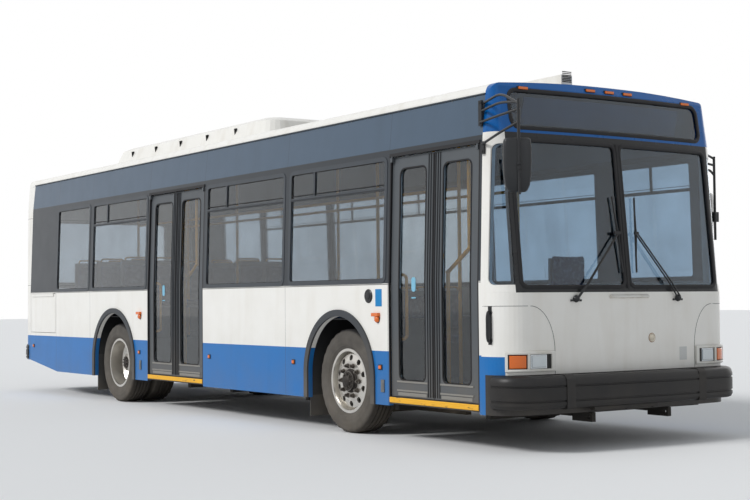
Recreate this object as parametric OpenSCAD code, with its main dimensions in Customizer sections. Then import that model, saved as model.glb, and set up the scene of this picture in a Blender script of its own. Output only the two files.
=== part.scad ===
// Low-floor city bus with two double doors on its right-hand side.
// X runs forwards, Y to the left and Z up. The origin lies on the road, in the middle of the whole outline,
// mirrors included.

/* [Body shell] */
// Length over both bumpers
body_length = 10920; // [10400:10:13200]
// Width over the side panels
body_width = 2590; // [2500:10:3150]
// Height of the lower edge of the skirt
skirt_z = 302; // [260:1:330]
// Height of the window sill, where the side starts to lean in
sill_z = 1358; // [1300:1:1400]
// Height of the lower edge of the band above the windows
band_z = 2527; // [2500:1:2600]
// Height of the gutter, where the roof starts
gutter_z = 2873; // [2840:1:2900]
// Height of the roof's crown
crown_z = 3000; // [2960:1:3200]
// How far the side leans in at the band
band_inset = 38; // [10:1:60]
// How far the side leans in at the gutter
gutter_inset = 73; // [40:1:120]
// Drop of the roof from its crown to its shoulders
crown_drop = 40; // [20:1:60]
// Thickness of walls, roof and end panels
wall_t = 45; // [30:1:50]
// Rise of the skirt's lower edge at the rear corner
tail_rise = 129; // [60:1:180]
// Distance from the rear bumper to where the skirt starts to rise
tail_run = 1325; // [1100:5:1500]

/* [Front end] */
// Distance from the bumper's face to the middle of the front panel
nose_set = 130; // [110:1:150]
// Distance from the bumper's face to the joint between front end and sides
nose_joint = 467; // [440:1:480]
// Radius of the bow of the front, seen from above
bow_r = 12000; // [9000:100:15000]
// Radius of the front corners
corner_r = 250; // [200:5:270]
// Radius of the front corners under the roof
top_r = 85; // [70:5:90]
// Height of the foot of the windshield
screen_z = 1270; // [1240:1:1300]
// Height of the top of the windshield
screen_top = 2500; // [2450:1:2520]
// How far the top of the front leans back
rake = 195; // [120:5:220]
// Half width of the windshield
screen_half = 1105; // [1050:5:1120]
// Width of the post between the two windshield panes
post_w = 46; // [30:1:60]
// Lower edge of the destination sign's window
sign_z = 2592; // [2580:1:2640]
// Height of the destination sign's window
sign_h = 318; // [250:1:330]
// Half width of the destination sign's window
sign_half = 1080; // [900:5:1100]
// Height of the bumpers
bumper_h = 262; // [200:1:280]
// Height of the lower edge of the front bumper
bumper_z = 352; // [340:1:380]
// Height of the lower edge of the rear bumper
rear_bumper_z = 432; // [420:1:460]

/* [Rear end] */
// Distance from the rear bumper's face to the rear panel
tail_set = 50; // [40:1:60]
// Distance from the rear bumper's face to the joint between rear end and sides
tail_joint = 315; // [300:1:340]
// Radius of the rear corners
tail_r = 190; // [150:5:220]
// Width of the engine door
engine_door_w = 1700; // [1400:10:1760]
// Lower edge of the engine door
engine_door_z = 712; // [700:1:740]
// Height of the engine door
engine_door_h = 720; // [600:5:760]
// Top of the deck over the engine
engine_deck_z = 1340; // [1300:5:1350]
// Length of the engine bay ahead of the rear panel
engine_bay = 1200; // [1150:10:1260]

/* [Doors] */
// Distance from the front bumper to the front door opening
door1_at = 495; // [490:1:510]
// Width of the front door opening
door1_w = 1269; // [1150:1:1290]
// Distance from the front bumper to the rear door opening
door2_at = 5319; // [5300:1:5340]
// Width of the rear door opening
door2_w = 1417; // [1300:1:1430]
// Height of the top of the door openings
door_top = 2476; // [2300:1:2500]
// Depth at which the doors lie behind the side's surface
door_inset = 20; // [16:1:24]
// Thickness of a door leaf
leaf_t = 35; // [28:1:38]
// Gap round a moving panel
panel_gap = 6; // [5:0.5:9]
// Gap between a leaf's hinge edge and its jamb
hinge_gap = 14; // [13:0.5:20]
// Radius of the leaves' pivot pins
pin_r = 12; // [8:0.5:14]
// Width of a leaf's stiles
stile_w = 116; // [90:1:140]
// Height of a leaf's lower panel
kick_h = 140; // [100:1:240]
// Height of a leaf's upper rail
head_h = 104; // [80:1:160]

/* [Windows] */
// Lower edge of the side window openings
window_z = 1366; // [1362:1:1400]
// Upper edge of the side window openings
window_top = 2486; // [2400:1:2500]
// Radius of the corners of the window openings
window_r = 70; // [50:1:90]
// Width of the window frames
frame_w = 40; // [30:1:50]
// How far the frames stand proud of the side
frame_proud = 4; // [1:0.5:8]
// Height of the bar between lower pane and vents
transom_z = 2187; // [2000:1:2250]
// Height of that bar's face
transom_h = 30; // [20:1:40]
// Distance from a window's aft edge to the vents' meeting bar
vent_run = 460; // [300:5:600]
// Thickness of the panes
glass_t = 6; // [4:0.5:8]
// Depth of the panes behind the side's surface
glass_set = 10; // [8:0.5:14]

/* [Wheels] */
// Distance from the front bumper to the front axle
front_overhang = 2553; // [2500:1:2600]
// Distance between the axles
wheelbase = 5189; // [5150:1:5230]
// Diameter of the tyres
tyre_d = 958; // [900:1:970]
// Width of a tyre
tyre_w = 275; // [240:1:280]
// Distance from the side's surface to the outer face of the tyres
tyre_set = 65; // [50:1:90]
// Gap between the two tyres of a twin wheel
twin_gap = 40; // [30:1:60]
// Diameter of the bead seat of the rims
rim_d = 573; // [560:1:580]
// Wall of the rims
rim_wall = 14; // [10:1:18]
// Count of hand holes and of wheel nuts
hand_holes = 10; // [8:1:10]
// Diameter of the hand holes
hand_hole_d = 54; // [40:1:60]
// Radius of the circle of the hand holes
hand_hole_r = 212; // [205:1:218]
// Largest steering angle each way
steer_limit = 40; // [30:1:42]
// Distance from the kingpin's axis to the tyre's inner face
kingpin_gap = 25; // [10:1:40]
// Radius of the kingpins
kingpin_r = 20; // [16:1:24]
// Radius of the stub axles
spindle_r = 42; // [35:1:48]
// Radial clearance of running fits
fit_clear = 0.05; // [0.02:0.01:0.09]
// Room kept round the moving tyres
tyre_room = 28; // [20:1:40]
// Width of the trim round the wheel arches
arch_trim = 62; // [40:1:70]
// How far the arch trim stands proud of the side
arch_proud = 18; // [8:1:25]

/* [Floor and interior] */
// Height of the low floor
floor_z = 380; // [370:1:400]
// Thickness of the floors
floor_t = 60; // [40:1:70]
// Height of the raised floor in the rear
deck_z = 800; // [780:1:840]
// Height of the floor under the driver
cab_z = 600; // [500:5:640]
// Thickness of the steel sheet of wheel boxes and bulkheads
sheet_t = 8; // [5:1:12]
// Width of a double seat
seat_w = 830; // [800:5:850]
// Gap between the seats and the wall
seat_wall_gap = 45; // [40:1:60]
// Depth of a seat cushion
cushion_l = 420; // [380:5:440]
// Thickness of the cushions
cushion_t = 70; // [50:1:90]
// Height of a seat above its floor
seat_h = 450; // [400:5:480]
// Height of the backrests
back_h = 520; // [450:5:560]
// Radius of the handrail tubes
rail_r = 17; // [14:1:20]

/* [Mirrors and towing] */
// How far the right-hand mirror reaches ahead of the front bumper
mirror_lead = 190; // [150:5:230]
// Distance from the bus's middle to the outer edge of either mirror
mirror_half = 1510; // [1500:5:1560]
// Depth, width and height of a mirror head
mirror_head_size = [90, 216, 410];
// Radius of the mirror arms
tube_r = 12; // [9:0.5:14]
// Radius of the bores of the towing lugs
tow_r = 22; // [15:1:26]
// Thickness of the towing lugs
tow_t = 40; // [30:1:50]
// Radius of the holes for a number plate
plate_hole_r = 3.5; // [2.5:0.1:5]

/* [Roof equipment] */
// Length of the cooling unit at its foot
ac_l = 4080; // [3200:10:4200]
// Width of the cooling unit
ac_w = 1900; // [1600:10:2000]
// Height of the cooling unit's top above the road
ac_top = 3190; // [3150:5:3300]
// Distance from the front bumper to the cooling unit
ac_at = 4480; // [4300:10:5200]

/* [Hidden] */
$fn = 64;

half = body_width / 2;
front_x = (body_length - mirror_lead) / 2;
rear_x = front_x - body_length;
nose_x = front_x - nose_set;
nose_back = front_x - nose_joint;
tail_x = rear_x + tail_set;
tail_front = rear_x + tail_joint;
wheel_x = front_x - front_overhang;
drive_x = wheel_x - wheelbase;
tyre_r = tyre_d / 2;
tyre_y = half - tyre_set - tyre_w / 2;
twin_y = tyre_y - tyre_w - twin_gap;
kingpin_y = half - tyre_set - tyre_w - kingpin_gap;
seat_gap = 0.3;
// Corner steps of a rounded outline
steps = 6;
// Room that the inner faces of the walls leave
room_half = half - wall_t;

// Windows: fore edge behind the front bumper, aft edge, and whether they have vents
right_windows = [[1803, 3497, true], [3573, 5276, true], [6770, 8435, true]];
left_windows = [[560, 1560, true], [1803, 3497, true], [3573, 5276, true], [5352, 6694, true],
    [6770, 8435, true]];
// The rearmost window on each side: distances of its fore and aft edges from the two bumpers
tail_window_at = 8504;
tail_window_end = 1272;
// Wheel arches: axle place, forward shift of the arch, height of its centre, opening radius
arches = [[wheel_x, -25, 536, 538], [drive_x, 22, 511, 577]];

// Points of an arc about (cx, cy)
function arc(cx, cy, r, a0, a1, n = steps) =
    [for (i = [0:n]) let (a = a0 + (a1 - a0) * i / n) [cx + r * cos(a), cy + r * sin(a)]];

// How far the side has leaned in at height z
function side_inset(z) =
    z <= sill_z ? 0
    : z <= band_z ? band_inset * (z - sill_z) / (band_z - sill_z)
    : band_inset + (gutter_inset - band_inset) * (min(z, gutter_z) - band_z) / (gutter_z - band_z);

// Heights from z0 to z1 with the bends of the side between them
function levels(z0, z1) = concat([z0], [for (z = [sill_z, band_z]) if (z > z0 && z < z1) z], [z1]);

// The roof's outline from its right to its left shoulder, set in by t
shoulder_r = crown_z - crown_drop - gutter_z;
shoulder_y = half - gutter_inset - shoulder_r;
function crown_at(y) = crown_z - crown_drop * pow(y / shoulder_y, 2);
function roof_line(t) = concat(
    arc(-shoulder_y, gutter_z, shoulder_r - t, 180, 95),
    [for (i = [-4:4]) let (y = i * shoulder_y / 5) [y, crown_at(y) - t]],
    arc(shoulder_y, gutter_z, shoulder_r - t, 85, 0));

// Cross-section of the whole body from z0 up, set in by t
function body_line(z0, t) = let (up = concat(levels(z0, gutter_z - 1))) concat(
    [for (z = up) [side_inset(z) + t - half, z]],
    roof_line(t),
    [for (i = [len(up) - 1:-1:0]) [half - t - side_inset(up[i]), up[i]]]);

// Plan of the front from the right side round to the left, open at x_back
function nose_plan(x_back, tip_x, y_half, r) =
    let (reach = y_half - r, lean = asin(reach / (bow_r - r)), cx = tip_x - bow_r,
        corner_x = cx + (bow_r - r) * cos(lean),
        bow = arc(cx, 0, bow_r, -lean, lean, 10))
    concat([[x_back, -y_half]], arc(corner_x, -reach, r, -90, -lean, 10),
        [for (i = [1:9]) bow[i]], arc(corner_x, reach, r, lean, 90, 10), [[x_back, y_half]]);

// Plan of the rear from the left side round to the right, open at x_front
function tail_plan(x_front, end_x, y_half, r) = concat([[x_front, y_half]],
    arc(end_x + r, y_half - r, r, 90, 180, 10), arc(end_x + r, r - y_half, r, 180, 270, 10),
    [[x_front, -y_half]]);

// Runs an outline drawn in Y and Z along X
module along_x(x0, x1) { translate([x0, 0, 0]) rotate([90, 0, 90]) linear_extrude(x1 - x0) children(); }

// A block between two corners
module block(low, high) { translate(low) cube(high - low); }

// A round bar between two points
module bar(p, q, r) {
    d = q - p;
    translate(p) rotate([0, acos(d[2] / norm(d)), atan2(d[1], d[0])]) cylinder(h = norm(d), r = r, $fn = 24);
}

// A piece and its mirror image on the left
module both_sides() {
    children();
    mirror([0, 1, 0]) children();
}

// Layer of the right side between two stations, two heights and two depths
module side_strip(x0, x1, z0, z1, d0, d1) {
    up = levels(z0, z1);
    top = len(up) - 1;
    along_x(x0, x1) polygon(concat(
        [for (z = up) [side_inset(z) + d0 - half, z]],
        [for (i = [top:-1:0]) [side_inset(up[i]) + d1 - half, up[i]]]));
}

module rounded_rect(x0, x1, z0, z1, r) {
    polygon(concat(arc(x1 - r, z0 + r, r, -90, 0), arc(x1 - r, z1 - r, r, 0, 90),
        arc(x0 + r, z1 - r, r, 90, 180), arc(x0 + r, z0 + r, r, 180, 270)));
}

// Cutter with rounded corners through the right side
module side_cutter(x0, x1, z0, z1, r) {
    translate([0, 250 - half, 0]) rotate([90, 0, 0]) linear_extrude(300) rounded_rect(x0, x1, z0, z1, r);
}

// Cutter with rounded corners through the front or the rear
module end_cutter(x0, x1, y0, y1, z0, z1, r) { along_x(x0, x1) rounded_rect(y0, y1, z0, z1, r); }

module arch_cutter(grow) {
    for (a = arches) {
        r = a[3] + grow;
        translate([a[0] + a[1], 0, a[2]]) rotate([90, 0, 0]) cylinder(h = half + 50, r = r, $fn = 96);
        block([a[0] + a[1] - r, -half - 50, 0], [a[0] + a[1] + r, 0, a[2]]);
    }
}

function opening(w) = [front_x - w[1], front_x - w[0]];

module side_wall(windows) {
    difference() {
        side_strip(tail_front, nose_back, skirt_z, gutter_z, 0, wall_t);
        for (w = windows) side_cutter(opening(w)[0], opening(w)[1], window_z, window_top, window_r);
        side_cutter(rear_x + tail_window_end, front_x - tail_window_at, window_z, window_top, window_r);
        arch_cutter(0);
        translate([0, -half - 50, 0]) rotate([-90, 0, 0]) linear_extrude(200)
            polygon([[rear_x + tail_run, -skirt_z + 1], [rear_x + tail_run, -skirt_z],
                [tail_front - 1, -skirt_z - tail_rise], [tail_front - 1, -skirt_z + 1]]);
    }
}

// Access door on the right, beside the engine bay
access_x0 = rear_x + 335;
access_x1 = rear_x + 1265;
access_z0 = 815;
access_z1 = 1350;

module right_side_wall() {
    color("white") difference() {
        side_wall(right_windows);
        block([front_x - door1_at - door1_w, -half - 50, skirt_z - 1], [front_x - door1_at, 0, door_top]);
        block([front_x - door2_at - door2_w, -half - 50, skirt_z - 1], [front_x - door2_at, 0, door_top]);
        block([access_x0, -half - 50, access_z0], [access_x1, 0, access_z1]);
    }
}

module left_side_wall() { color("white") mirror([0, 1, 0]) side_wall(left_windows); }

// Half the width of the roof's middle sheet
roof_seam = 450;
module roof() {
    edge = [half - gutter_inset, gutter_z + seat_gap];
    lip = [for (p = roof_line(0)) if (p[1] > edge[1]) p];
    color("white") difference() {
        along_x(tail_front, nose_back) polygon(concat([[-edge[0], edge[1]]], lip, [edge]));
        along_x(tail_front - 1, nose_back + 1) polygon(concat([[wall_t + gutter_inset - half, gutter_z - 1]],
            roof_line(wall_t), [[half - wall_t - gutter_inset, gutter_z - 1]]));
        both_sides() block([tail_front - 2, -roof_seam - seat_gap, gutter_z],
            [nose_back + 2, -roof_seam, crown_z + 9]);
    }
}

// Wheel boxes: the front ones give room to steer, the rear ones hold the twin wheels
steer_reach = norm([tyre_r, tyre_w + kingpin_gap]) + tyre_room;
front_box_y = kingpin_y - tyre_r * sin(steer_limit) - tyre_room;
rear_box_y = twin_y - tyre_w / 2 - tyre_room;
rear_reach = tyre_r + 3 * tyre_room;
box_top = 2 * tyre_r + 3 * tyre_room;

// Steel box over a wheel: closed towards the cabin, open below and through the side
module wheel_box(x, y_in, reach, z0) {
    difference() {
        block([x - reach - sheet_t, -room_half, z0], [x + reach + sheet_t, -y_in + sheet_t,
            box_top + sheet_t]);
        block([x - reach, -half, z0 - 1], [x + reach, -y_in, box_top]);
    }
}

bay_front = tail_x + engine_bay;
deck_front = front_x - door2_at - door2_w - 60;
step_x = 300;

// Floor sheets, wheel boxes, riser, bulkhead and cab floor: plates that stand seat_gap apart
module floor() {
    well = sheet_t + seat_gap;
    color("dimgray") {
        difference() {
            block([deck_front - step_x, -room_half, floor_z - floor_t], [nose_back, room_half, floor_z]);
            both_sides() block([wheel_x - steer_reach - well, -half, 0],
                [wheel_x + steer_reach + well, -front_box_y + well, floor_z + 1]);
        }
        for (d = [[door1_at, door1_w], [door2_at, door2_w]])
            block([front_x - d[0] - d[1] + 2, -half + 2, floor_z - floor_t],
                [front_x - d[0] - 2, -room_half - seat_gap, floor_z]);
        both_sides() wheel_box(wheel_x, front_box_y, steer_reach, floor_z - floor_t);
        difference() {
            block([bay_front + seat_gap, -room_half, deck_z - floor_t], [deck_front, room_half, deck_z]);
            both_sides() block([drive_x - rear_reach - well, -half, 0],
                [drive_x + rear_reach + well, -rear_box_y + well, deck_z + 1]);
        }
        both_sides() wheel_box(drive_x, rear_box_y, rear_reach, deck_z - floor_t - 170);
        block([deck_front - step_x, -rear_box_y + 60, floor_z + seat_gap],
            [deck_front - sheet_t - seat_gap, rear_box_y - 60, (floor_z + deck_z) / 2]);
        block([deck_front - sheet_t, -room_half, floor_z + seat_gap],
            [deck_front, room_half, deck_z - floor_t - seat_gap]);
        block([bay_front - sheet_t, -room_half, deck_z - floor_t],
            [bay_front, room_half, engine_deck_z - sheet_t - seat_gap]);
        block([tail_front, -room_half, engine_deck_z - sheet_t], [bay_front, room_half, engine_deck_z]);
        block([front_x - door1_at - door1_w - 90, 180, floor_z + seat_gap], [nose_back, room_half, cab_z]);
        block([nose_back + seat_gap, -950, floor_z - floor_t], [nose_x - wall_t - 60, 950, floor_z]);
    }
}

rail_y = 430;
low_rail = [floor_z - floor_t - 62, floor_z - floor_t];
high_rail = [deck_z - floor_t - 140, deck_z - floor_t];
// Plate with a bore across it, under a frame rail: its ends, its heights, and place and height of the bore
module tow_lug(ends, heights, bore) {
    difference() {
        block([ends[0], -rail_y - tow_t / 2, heights[0]], [ends[1], -rail_y + tow_t / 2, heights[1]]);
        translate([bore[0], 0, bore[1]]) rotate([90, 0, 0]) cylinder(h = half, r = tow_r);
    }
}

// Cross member at x between the heights z, in three lengths: between the rails and out to y_end
module cross_member(x, z, y_end) {
    inner = rail_y - 35 - seat_gap;
    block([x - 30, -inner, z[0]], [x + 30, inner, z[1] - seat_gap]);
    both_sides() block([x - 30, -y_end, z[0]], [x + 30, -rail_y - 35 - seat_gap, z[1] - seat_gap]);
}

jack_pad_t = 12; // thickness of a lifting pad
module chassis_frame() {
    drop = [deck_front - 400, deck_front - 320];
    beam = [tail_front - 150, tail_front - 110];
    color("black") {
        both_sides() {
            block([drop[1] + seat_gap, -rail_y - 35, low_rail[0]],
                [nose_back + 120, -rail_y + 35, low_rail[1] - seat_gap]);
            block([beam[1] + seat_gap, -rail_y - 35, high_rail[0]],
                [drop[0] - seat_gap, -rail_y + 35, high_rail[1] - seat_gap]);
            block([drop[0], -rail_y - 35, low_rail[0]], [drop[1], -rail_y + 35, high_rail[1] - seat_gap]);
            block([front_x - 4920, -rail_y - 60, low_rail[0] - seat_gap - jack_pad_t],
                [front_x - 4800, -rail_y + 60, low_rail[0] - seat_gap]);
            tow_lug([nose_back + 120 + seat_gap, nose_x + 20], [low_rail[0] - 36, skirt_z - 4],
                [nose_x - 22, low_rail[0] + 2]);
            tow_lug([tail_x + 60, tail_front - 112], [330, high_rail[0] - seat_gap], [tail_x + 104, 376]);
        }
        for (x = [front_x - 520, wheel_x + 760, wheel_x - 760, front_x - 4860, front_x - 5860])
            cross_member(x, low_rail, room_half - 60);
        for (x = [drive_x + 640, drive_x - 700, bay_front - 60])
            cross_member(x, high_rail, rear_box_y - 60);
        block([beam[0], -900, high_rail[0]], [beam[1], 900, high_rail[1]]);
    }
}

// How far the bow sets the front back at offset y
function bow_drop(y) = bow_r - sqrt(bow_r * bow_r - y * y);

module nose_band(z0, z1, t0, t1) {
    translate([0, 0, z0]) linear_extrude(z1 - z0) difference() {
        polygon(nose_plan(nose_back, nose_x - t0, half - t0, corner_r - t0));
        polygon(nose_plan(nose_back - 1, nose_x - t1, half - t1, corner_r - t1));
    }
}

module front_panel() { color("white") nose_band(skirt_z, screen_z, 0, wall_t); }

// Sections of the raked front: height, setback of its middle, corner radius
front_sections = [[screen_z, 0, corner_r], [sill_z, 0.06 * rake, corner_r],
    [band_z, 0.66 * rake, top_r + 60],
    [gutter_z + 60, rake, top_r], [crown_z - 5, rake + 30, top_r - 30],
        [crown_z + 10, rake + 60, top_r - 50]];

// The corner radius that leaves the corner ahead of the joint with the sides
function corner_fit(tip_x, y_half, r) = min(r, tip_x - bow_drop(y_half) - nose_back - 4);

// Place of the raked front's surface at offset y and height z
function face_x(y, z) = nose_x - bow_drop(y) - lookup(z, [for (s = front_sections) [s[0], s[1]]]);

// Solid of the raked front, set in by t, before the body's cross-section trims it
module raked_front(t) {
    rings = [for (s = front_sections) let (tip = nose_x - s[1] - t, y = half - side_inset(s[0]) - t,
        plan = nose_plan(nose_back - 1, tip, y, max(8, corner_fit(nose_x - s[1], y + t, s[2]) - t)))
        [for (p = plan) [p[0], p[1], s[0]]]];
    n = len(rings[0]);
    m = len(rings);
    walls = [for (k = [0:m - 2]) for (i = [0:n - 1]) let (j = (i + 1) % n)
        each [[k * n + i, (k + 1) * n + i, k * n + j], [k * n + j, (k + 1) * n + i, (k + 1) * n + j]]];
    polyhedron([for (r = rings) each r], concat(walls, [[for (i = [0:n - 1]) i],
        [for (i = [n - 1:-1:0]) (m - 1) * n + i]]));
}

module front_body(t, z0) {
    intersection() {
        raked_front(t);
        along_x(nose_back, front_x) polygon(body_line(z0, t));
    }
}

// Quarter windows: round the corners, behind the posts beside the windshield
quarter_back = 84;
module quarter_cutter(grow) {
    intersection() {
        side_cutter(nose_back + quarter_back - grow, front_x + 100, screen_z + 62 - grow,
            screen_top - 40 + grow, 55);
        block([nose_back, -half - 50, 0], [front_x, -screen_half - post_w + grow, crown_z]);
    }
}

module front_openings(grow) {
    for (s = [-1, 1]) {
        y0 = min(s * post_w / 2, s * screen_half) - grow;
        y1 = max(s * post_w / 2, s * screen_half) + grow;
        end_cutter(nose_back + 60, front_x, y0, y1, screen_z + 40 - grow, screen_top + grow, 60);
    }
    end_cutter(nose_back + 60, front_x, -sign_half - grow, sign_half + grow, sign_z - grow,
        sign_z + sign_h + grow, 80);
    both_sides() quarter_cutter(grow);
}

module front_mask() {
    color("royalblue") difference() {
        front_body(0, screen_z + seat_gap);
        front_body(wall_t, screen_z - 2);
        front_openings(0);
    }
}

module front_glass() {
    color("slategray", 0.5) intersection() {
        difference() {
            front_body(glass_set, screen_z + 1);
            front_body(glass_set + glass_t, screen_z);
        }
        front_openings(-seat_gap);
    }
}

module tail_body(t, z0) {
    intersection() {
        along_x(tail_x - 10, tail_front) polygon(body_line(z0, t));
        linear_extrude(crown_z + 50) polygon(tail_plan(tail_front + 1, tail_x + t, half - t, tail_r - t));
    }
}

tail_window = [1500, 2380, 900];
module rear_wall() {
    color("white") difference() {
        tail_body(0, skirt_z + tail_rise);
        tail_body(wall_t, skirt_z + tail_rise - 5);
        end_cutter(tail_x - 50, tail_x + 150, -engine_door_w / 2, engine_door_w / 2, engine_door_z,
            engine_door_z + engine_door_h, 20);
        end_cutter(tail_x - 50, tail_x + 150, -tail_window[2], tail_window[2], tail_window[0],
            tail_window[1], window_r);
    }
}

module pane(x0, x1, z0, z1, d0, d1, r) {
    intersection() {
        side_strip(x0 - 1, x1 + 1, z0 - 1, z1 + 1, d0, d1);
        side_cutter(x0, x1, z0, z1, r);
    }
}

module window_pane(x0, x1) {
    in = frame_w + seat_gap;
    pane(x0 + in, x1 - in, window_z + in, window_top - in, glass_set, glass_set + glass_t,
        window_r - frame_w);
}

module cabin_glass() {
    color("slategray", 0.5) {
        for (w = right_windows) window_pane(opening(w)[0], opening(w)[1]);
        mirror([0, 1, 0]) for (w = left_windows) window_pane(opening(w)[0], opening(w)[1]);
        both_sides() window_pane(rear_x + tail_window_end, front_x - tail_window_at);
        end_cutter(tail_x + glass_set, tail_x + glass_set + glass_t, seat_gap - tail_window[2],
            tail_window[2] - seat_gap,
            tail_window[0] + seat_gap, tail_window[1] - seat_gap, window_r);
    }
}

module window_frame(x0, x1, vents) {
    difference() {
        pane(x0 + seat_gap, x1 - seat_gap, window_z + seat_gap, window_top - seat_gap, -frame_proud,
            30, window_r);
        side_cutter(x0 + frame_w, x1 - frame_w, window_z + frame_w, window_top - frame_w,
            window_r - frame_w);
    }
    if (vents) {
        side_strip(x0 + frame_w - 2, x1 - frame_w + 2, transom_z, transom_z + transom_h, -2,
            glass_set - seat_gap);
        side_strip(x0 + vent_run - 14, x0 + vent_run + 14, transom_z, window_top - frame_w + 2, -1,
            glass_set - seat_gap);
    }
}

module window_frames() {
    color("dimgray") {
        for (w = right_windows) window_frame(opening(w)[0], opening(w)[1], w[2]);
        mirror([0, 1, 0]) for (w = left_windows) window_frame(opening(w)[0], opening(w)[1], w[2]);
        both_sides() window_frame(rear_x + tail_window_end, front_x - tail_window_at, false);
    }
}

bumper_out = 14;
// Pitch of a number plate's holes across and up
plate_pitch = [178, 121];
module bumpers() {
    tall = bumper_h - 40;
    color("darkslategray") {
        translate([0, 0, bumper_z]) linear_extrude(bumper_h) difference() {
            polygon(nose_plan(nose_back + 120, front_x, half + bumper_out, corner_r + 20));
            polygon(nose_plan(nose_back, nose_x + seat_gap, half + seat_gap, corner_r + seat_gap));
        }
        difference() {
            translate([0, 0, rear_bumper_z]) linear_extrude(tall) difference() {
                polygon(tail_plan(tail_front - 60, rear_x, half + bumper_out, tail_r + 20));
                polygon(tail_plan(tail_front, tail_x - seat_gap, half + seat_gap, tail_r + seat_gap));
            }
            for (y = [-1, 1]) for (z = [-1, 1])
                translate([rear_x - 1, y * plate_pitch[0] / 2,
                    rear_bumper_z + tall / 2 + z * plate_pitch[1] / 2])
                    rotate([0, 90, 0]) cylinder(h = tail_set + 2, r = plate_hole_r, $fn = 24);
        }
    }
}

// Hinge barrels of the engine door and the access door lie just outside the surface
barrel_r = 9;
barrel_out = barrel_r + seat_gap;
module engine_door() {
    g = panel_gap;
    top = engine_door_z + engine_door_h;
    color("white") {
        difference() {
            end_cutter(tail_x, tail_x + wall_t, g - engine_door_w / 2, engine_door_w / 2 - g,
                engine_door_z + g,
                top - g, 20);
            for (z = [160:90:520])
                block([tail_x - 1, -600, engine_door_z + z], [tail_x + 14, 600, engine_door_z + z + 45]);
        }
        translate([tail_x - barrel_out, 600, top]) rotate([90, 0, 0]) cylinder(h = 1200, r = barrel_r);
        block([tail_x - barrel_out - 3, -600, top - 45], [tail_x + 1, 600, top - g]);
    }
}

module access_door() {
    g = panel_gap;
    color("white") {
        block([access_x0 + g, -half, access_z0 + g], [access_x1 - g, -half + 30, access_z1 - g]);
        translate([access_x0 + 60, -half - barrel_out, access_z1]) rotate([0, 90, 0])
            cylinder(h = access_x1 - access_x0 - 120, r = barrel_r);
        block([access_x0 + 60, -half - barrel_out - 3, access_z1 - 40],
            [access_x1 - 60, -half + 1, access_z1 - g]);
    }
}

// Ends of a door leaf: the two leaves of a door meet in the middle of its opening
function leaf_span(at, w, fore) = let (mid = front_x - at - w / 2, edge = w / 2 - hinge_gap,
    g = panel_gap / 2)
    fore ? [mid + g, mid + edge] : [mid - edge, mid - g];

leaf_z = [floor_z + panel_gap, door_top - panel_gap - 5];
// A leaf turns on pivot pins at its outer edge, between the step and the header
module leaf(span, fore) {
    pin_x = fore ? span[1] - leaf_t / 2 : span[0] + leaf_t / 2;
    pin_y = door_inset + leaf_t / 2 - half;
    color("dimgray") {
        difference() {
            side_strip(span[0], span[1], leaf_z[0], leaf_z[1], door_inset, door_inset + leaf_t);
            side_cutter(span[0] + stile_w, span[1] - stile_w, leaf_z[0] + kick_h, leaf_z[1] - head_h, 60);
        }
        translate([pin_x, pin_y, floor_z + seat_gap]) cylinder(h = 200, r = pin_r);
        block([pin_x - pin_r - 3, pin_y - pin_r - 3, leaf_z[1] - 40],
            [pin_x + pin_r + 3, pin_y + 45, leaf_z[1] - 3]);
        translate([pin_x, pin_y, leaf_z[1] - 38]) cylinder(h = door_top - seat_gap - leaf_z[1] + 38,
            r = pin_r);
    }
}

module leaf_glass(span) {
    in = stile_w + seat_gap;
    mid = door_inset + leaf_t / 2;
    color("slategray", 0.5) pane(span[0] + in, span[1] - in, leaf_z[0] + kick_h + seat_gap,
        leaf_z[1] - head_h - seat_gap, mid - glass_t / 2, mid + glass_t / 2, 60);
}

module front_door_fore_leaf() { leaf(leaf_span(door1_at, door1_w, true), true); }
module front_door_aft_leaf() { leaf(leaf_span(door1_at, door1_w, false), false); }
module rear_door_fore_leaf() { leaf(leaf_span(door2_at, door2_w, true), true); }
module rear_door_aft_leaf() { leaf(leaf_span(door2_at, door2_w, false), false); }
module front_door_fore_glass() { leaf_glass(leaf_span(door1_at, door1_w, true)); }
module front_door_aft_glass() { leaf_glass(leaf_span(door1_at, door1_w, false)); }
module rear_door_fore_glass() { leaf_glass(leaf_span(door2_at, door2_w, true)); }
module rear_door_aft_glass() { leaf_glass(leaf_span(door2_at, door2_w, false)); }

// Turns a profile of radius and outward offset round a wheel's axis on the right
module spin_right(x, y) { translate([x, -y, tyre_r]) rotate([90, 0, 0]) rotate_extrude($fn = 96)
    children(); }

bead_r = rim_d / 2;
bead_y = 104;
// Tyre section: radius and offset from its middle plane
tyre_half = [[bead_r + 0.5, bead_y], [bead_r + 12, bead_y], [bead_r + 15, bead_y + 10],
    [0.71 * tyre_r, tyre_w / 2 - 5],
    [0.8 * tyre_r, tyre_w / 2], [0.9 * tyre_r, tyre_w / 2 - 5], [0.965 * tyre_r, tyre_w / 2 - 18],
        [tyre_r, tyre_w / 2 - 38]];
module tyre(x, y) {
    n = len(tyre_half) - 1;
    spin_right(x, y) polygon(concat(tyre_half, [for (i = [n:-1:0]) [tyre_half[i][0], -tyre_half[i][1]]]));
}

module front_tyre_right() { color("black") tyre(wheel_x, tyre_y); }
module front_tyre_left() { color("black") mirror([0, 1, 0]) tyre(wheel_x, tyre_y); }
module rear_tyres_right() {
    color("black") {
        tyre(drive_x, tyre_y);
        tyre(drive_x, twin_y);
    }
}
module rear_tyres_left() { mirror([0, 1, 0]) rear_tyres_right(); }

// Rim barrel with its two flanges
module rim_barrel(x, y) {
    inner = bead_r - rim_wall;
    spin_right(x, y) polygon([[inner, -bead_y - 8], [bead_r + 11, -bead_y - 8], [bead_r + 11, -bead_y - 0.3],
        [bead_r, -bead_y - 0.3], [bead_r, bead_y + 0.3], [bead_r + 11, bead_y + 0.3],
            [bead_r + 11, bead_y + 8],
        [inner, bead_y + 8]]);
}

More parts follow.
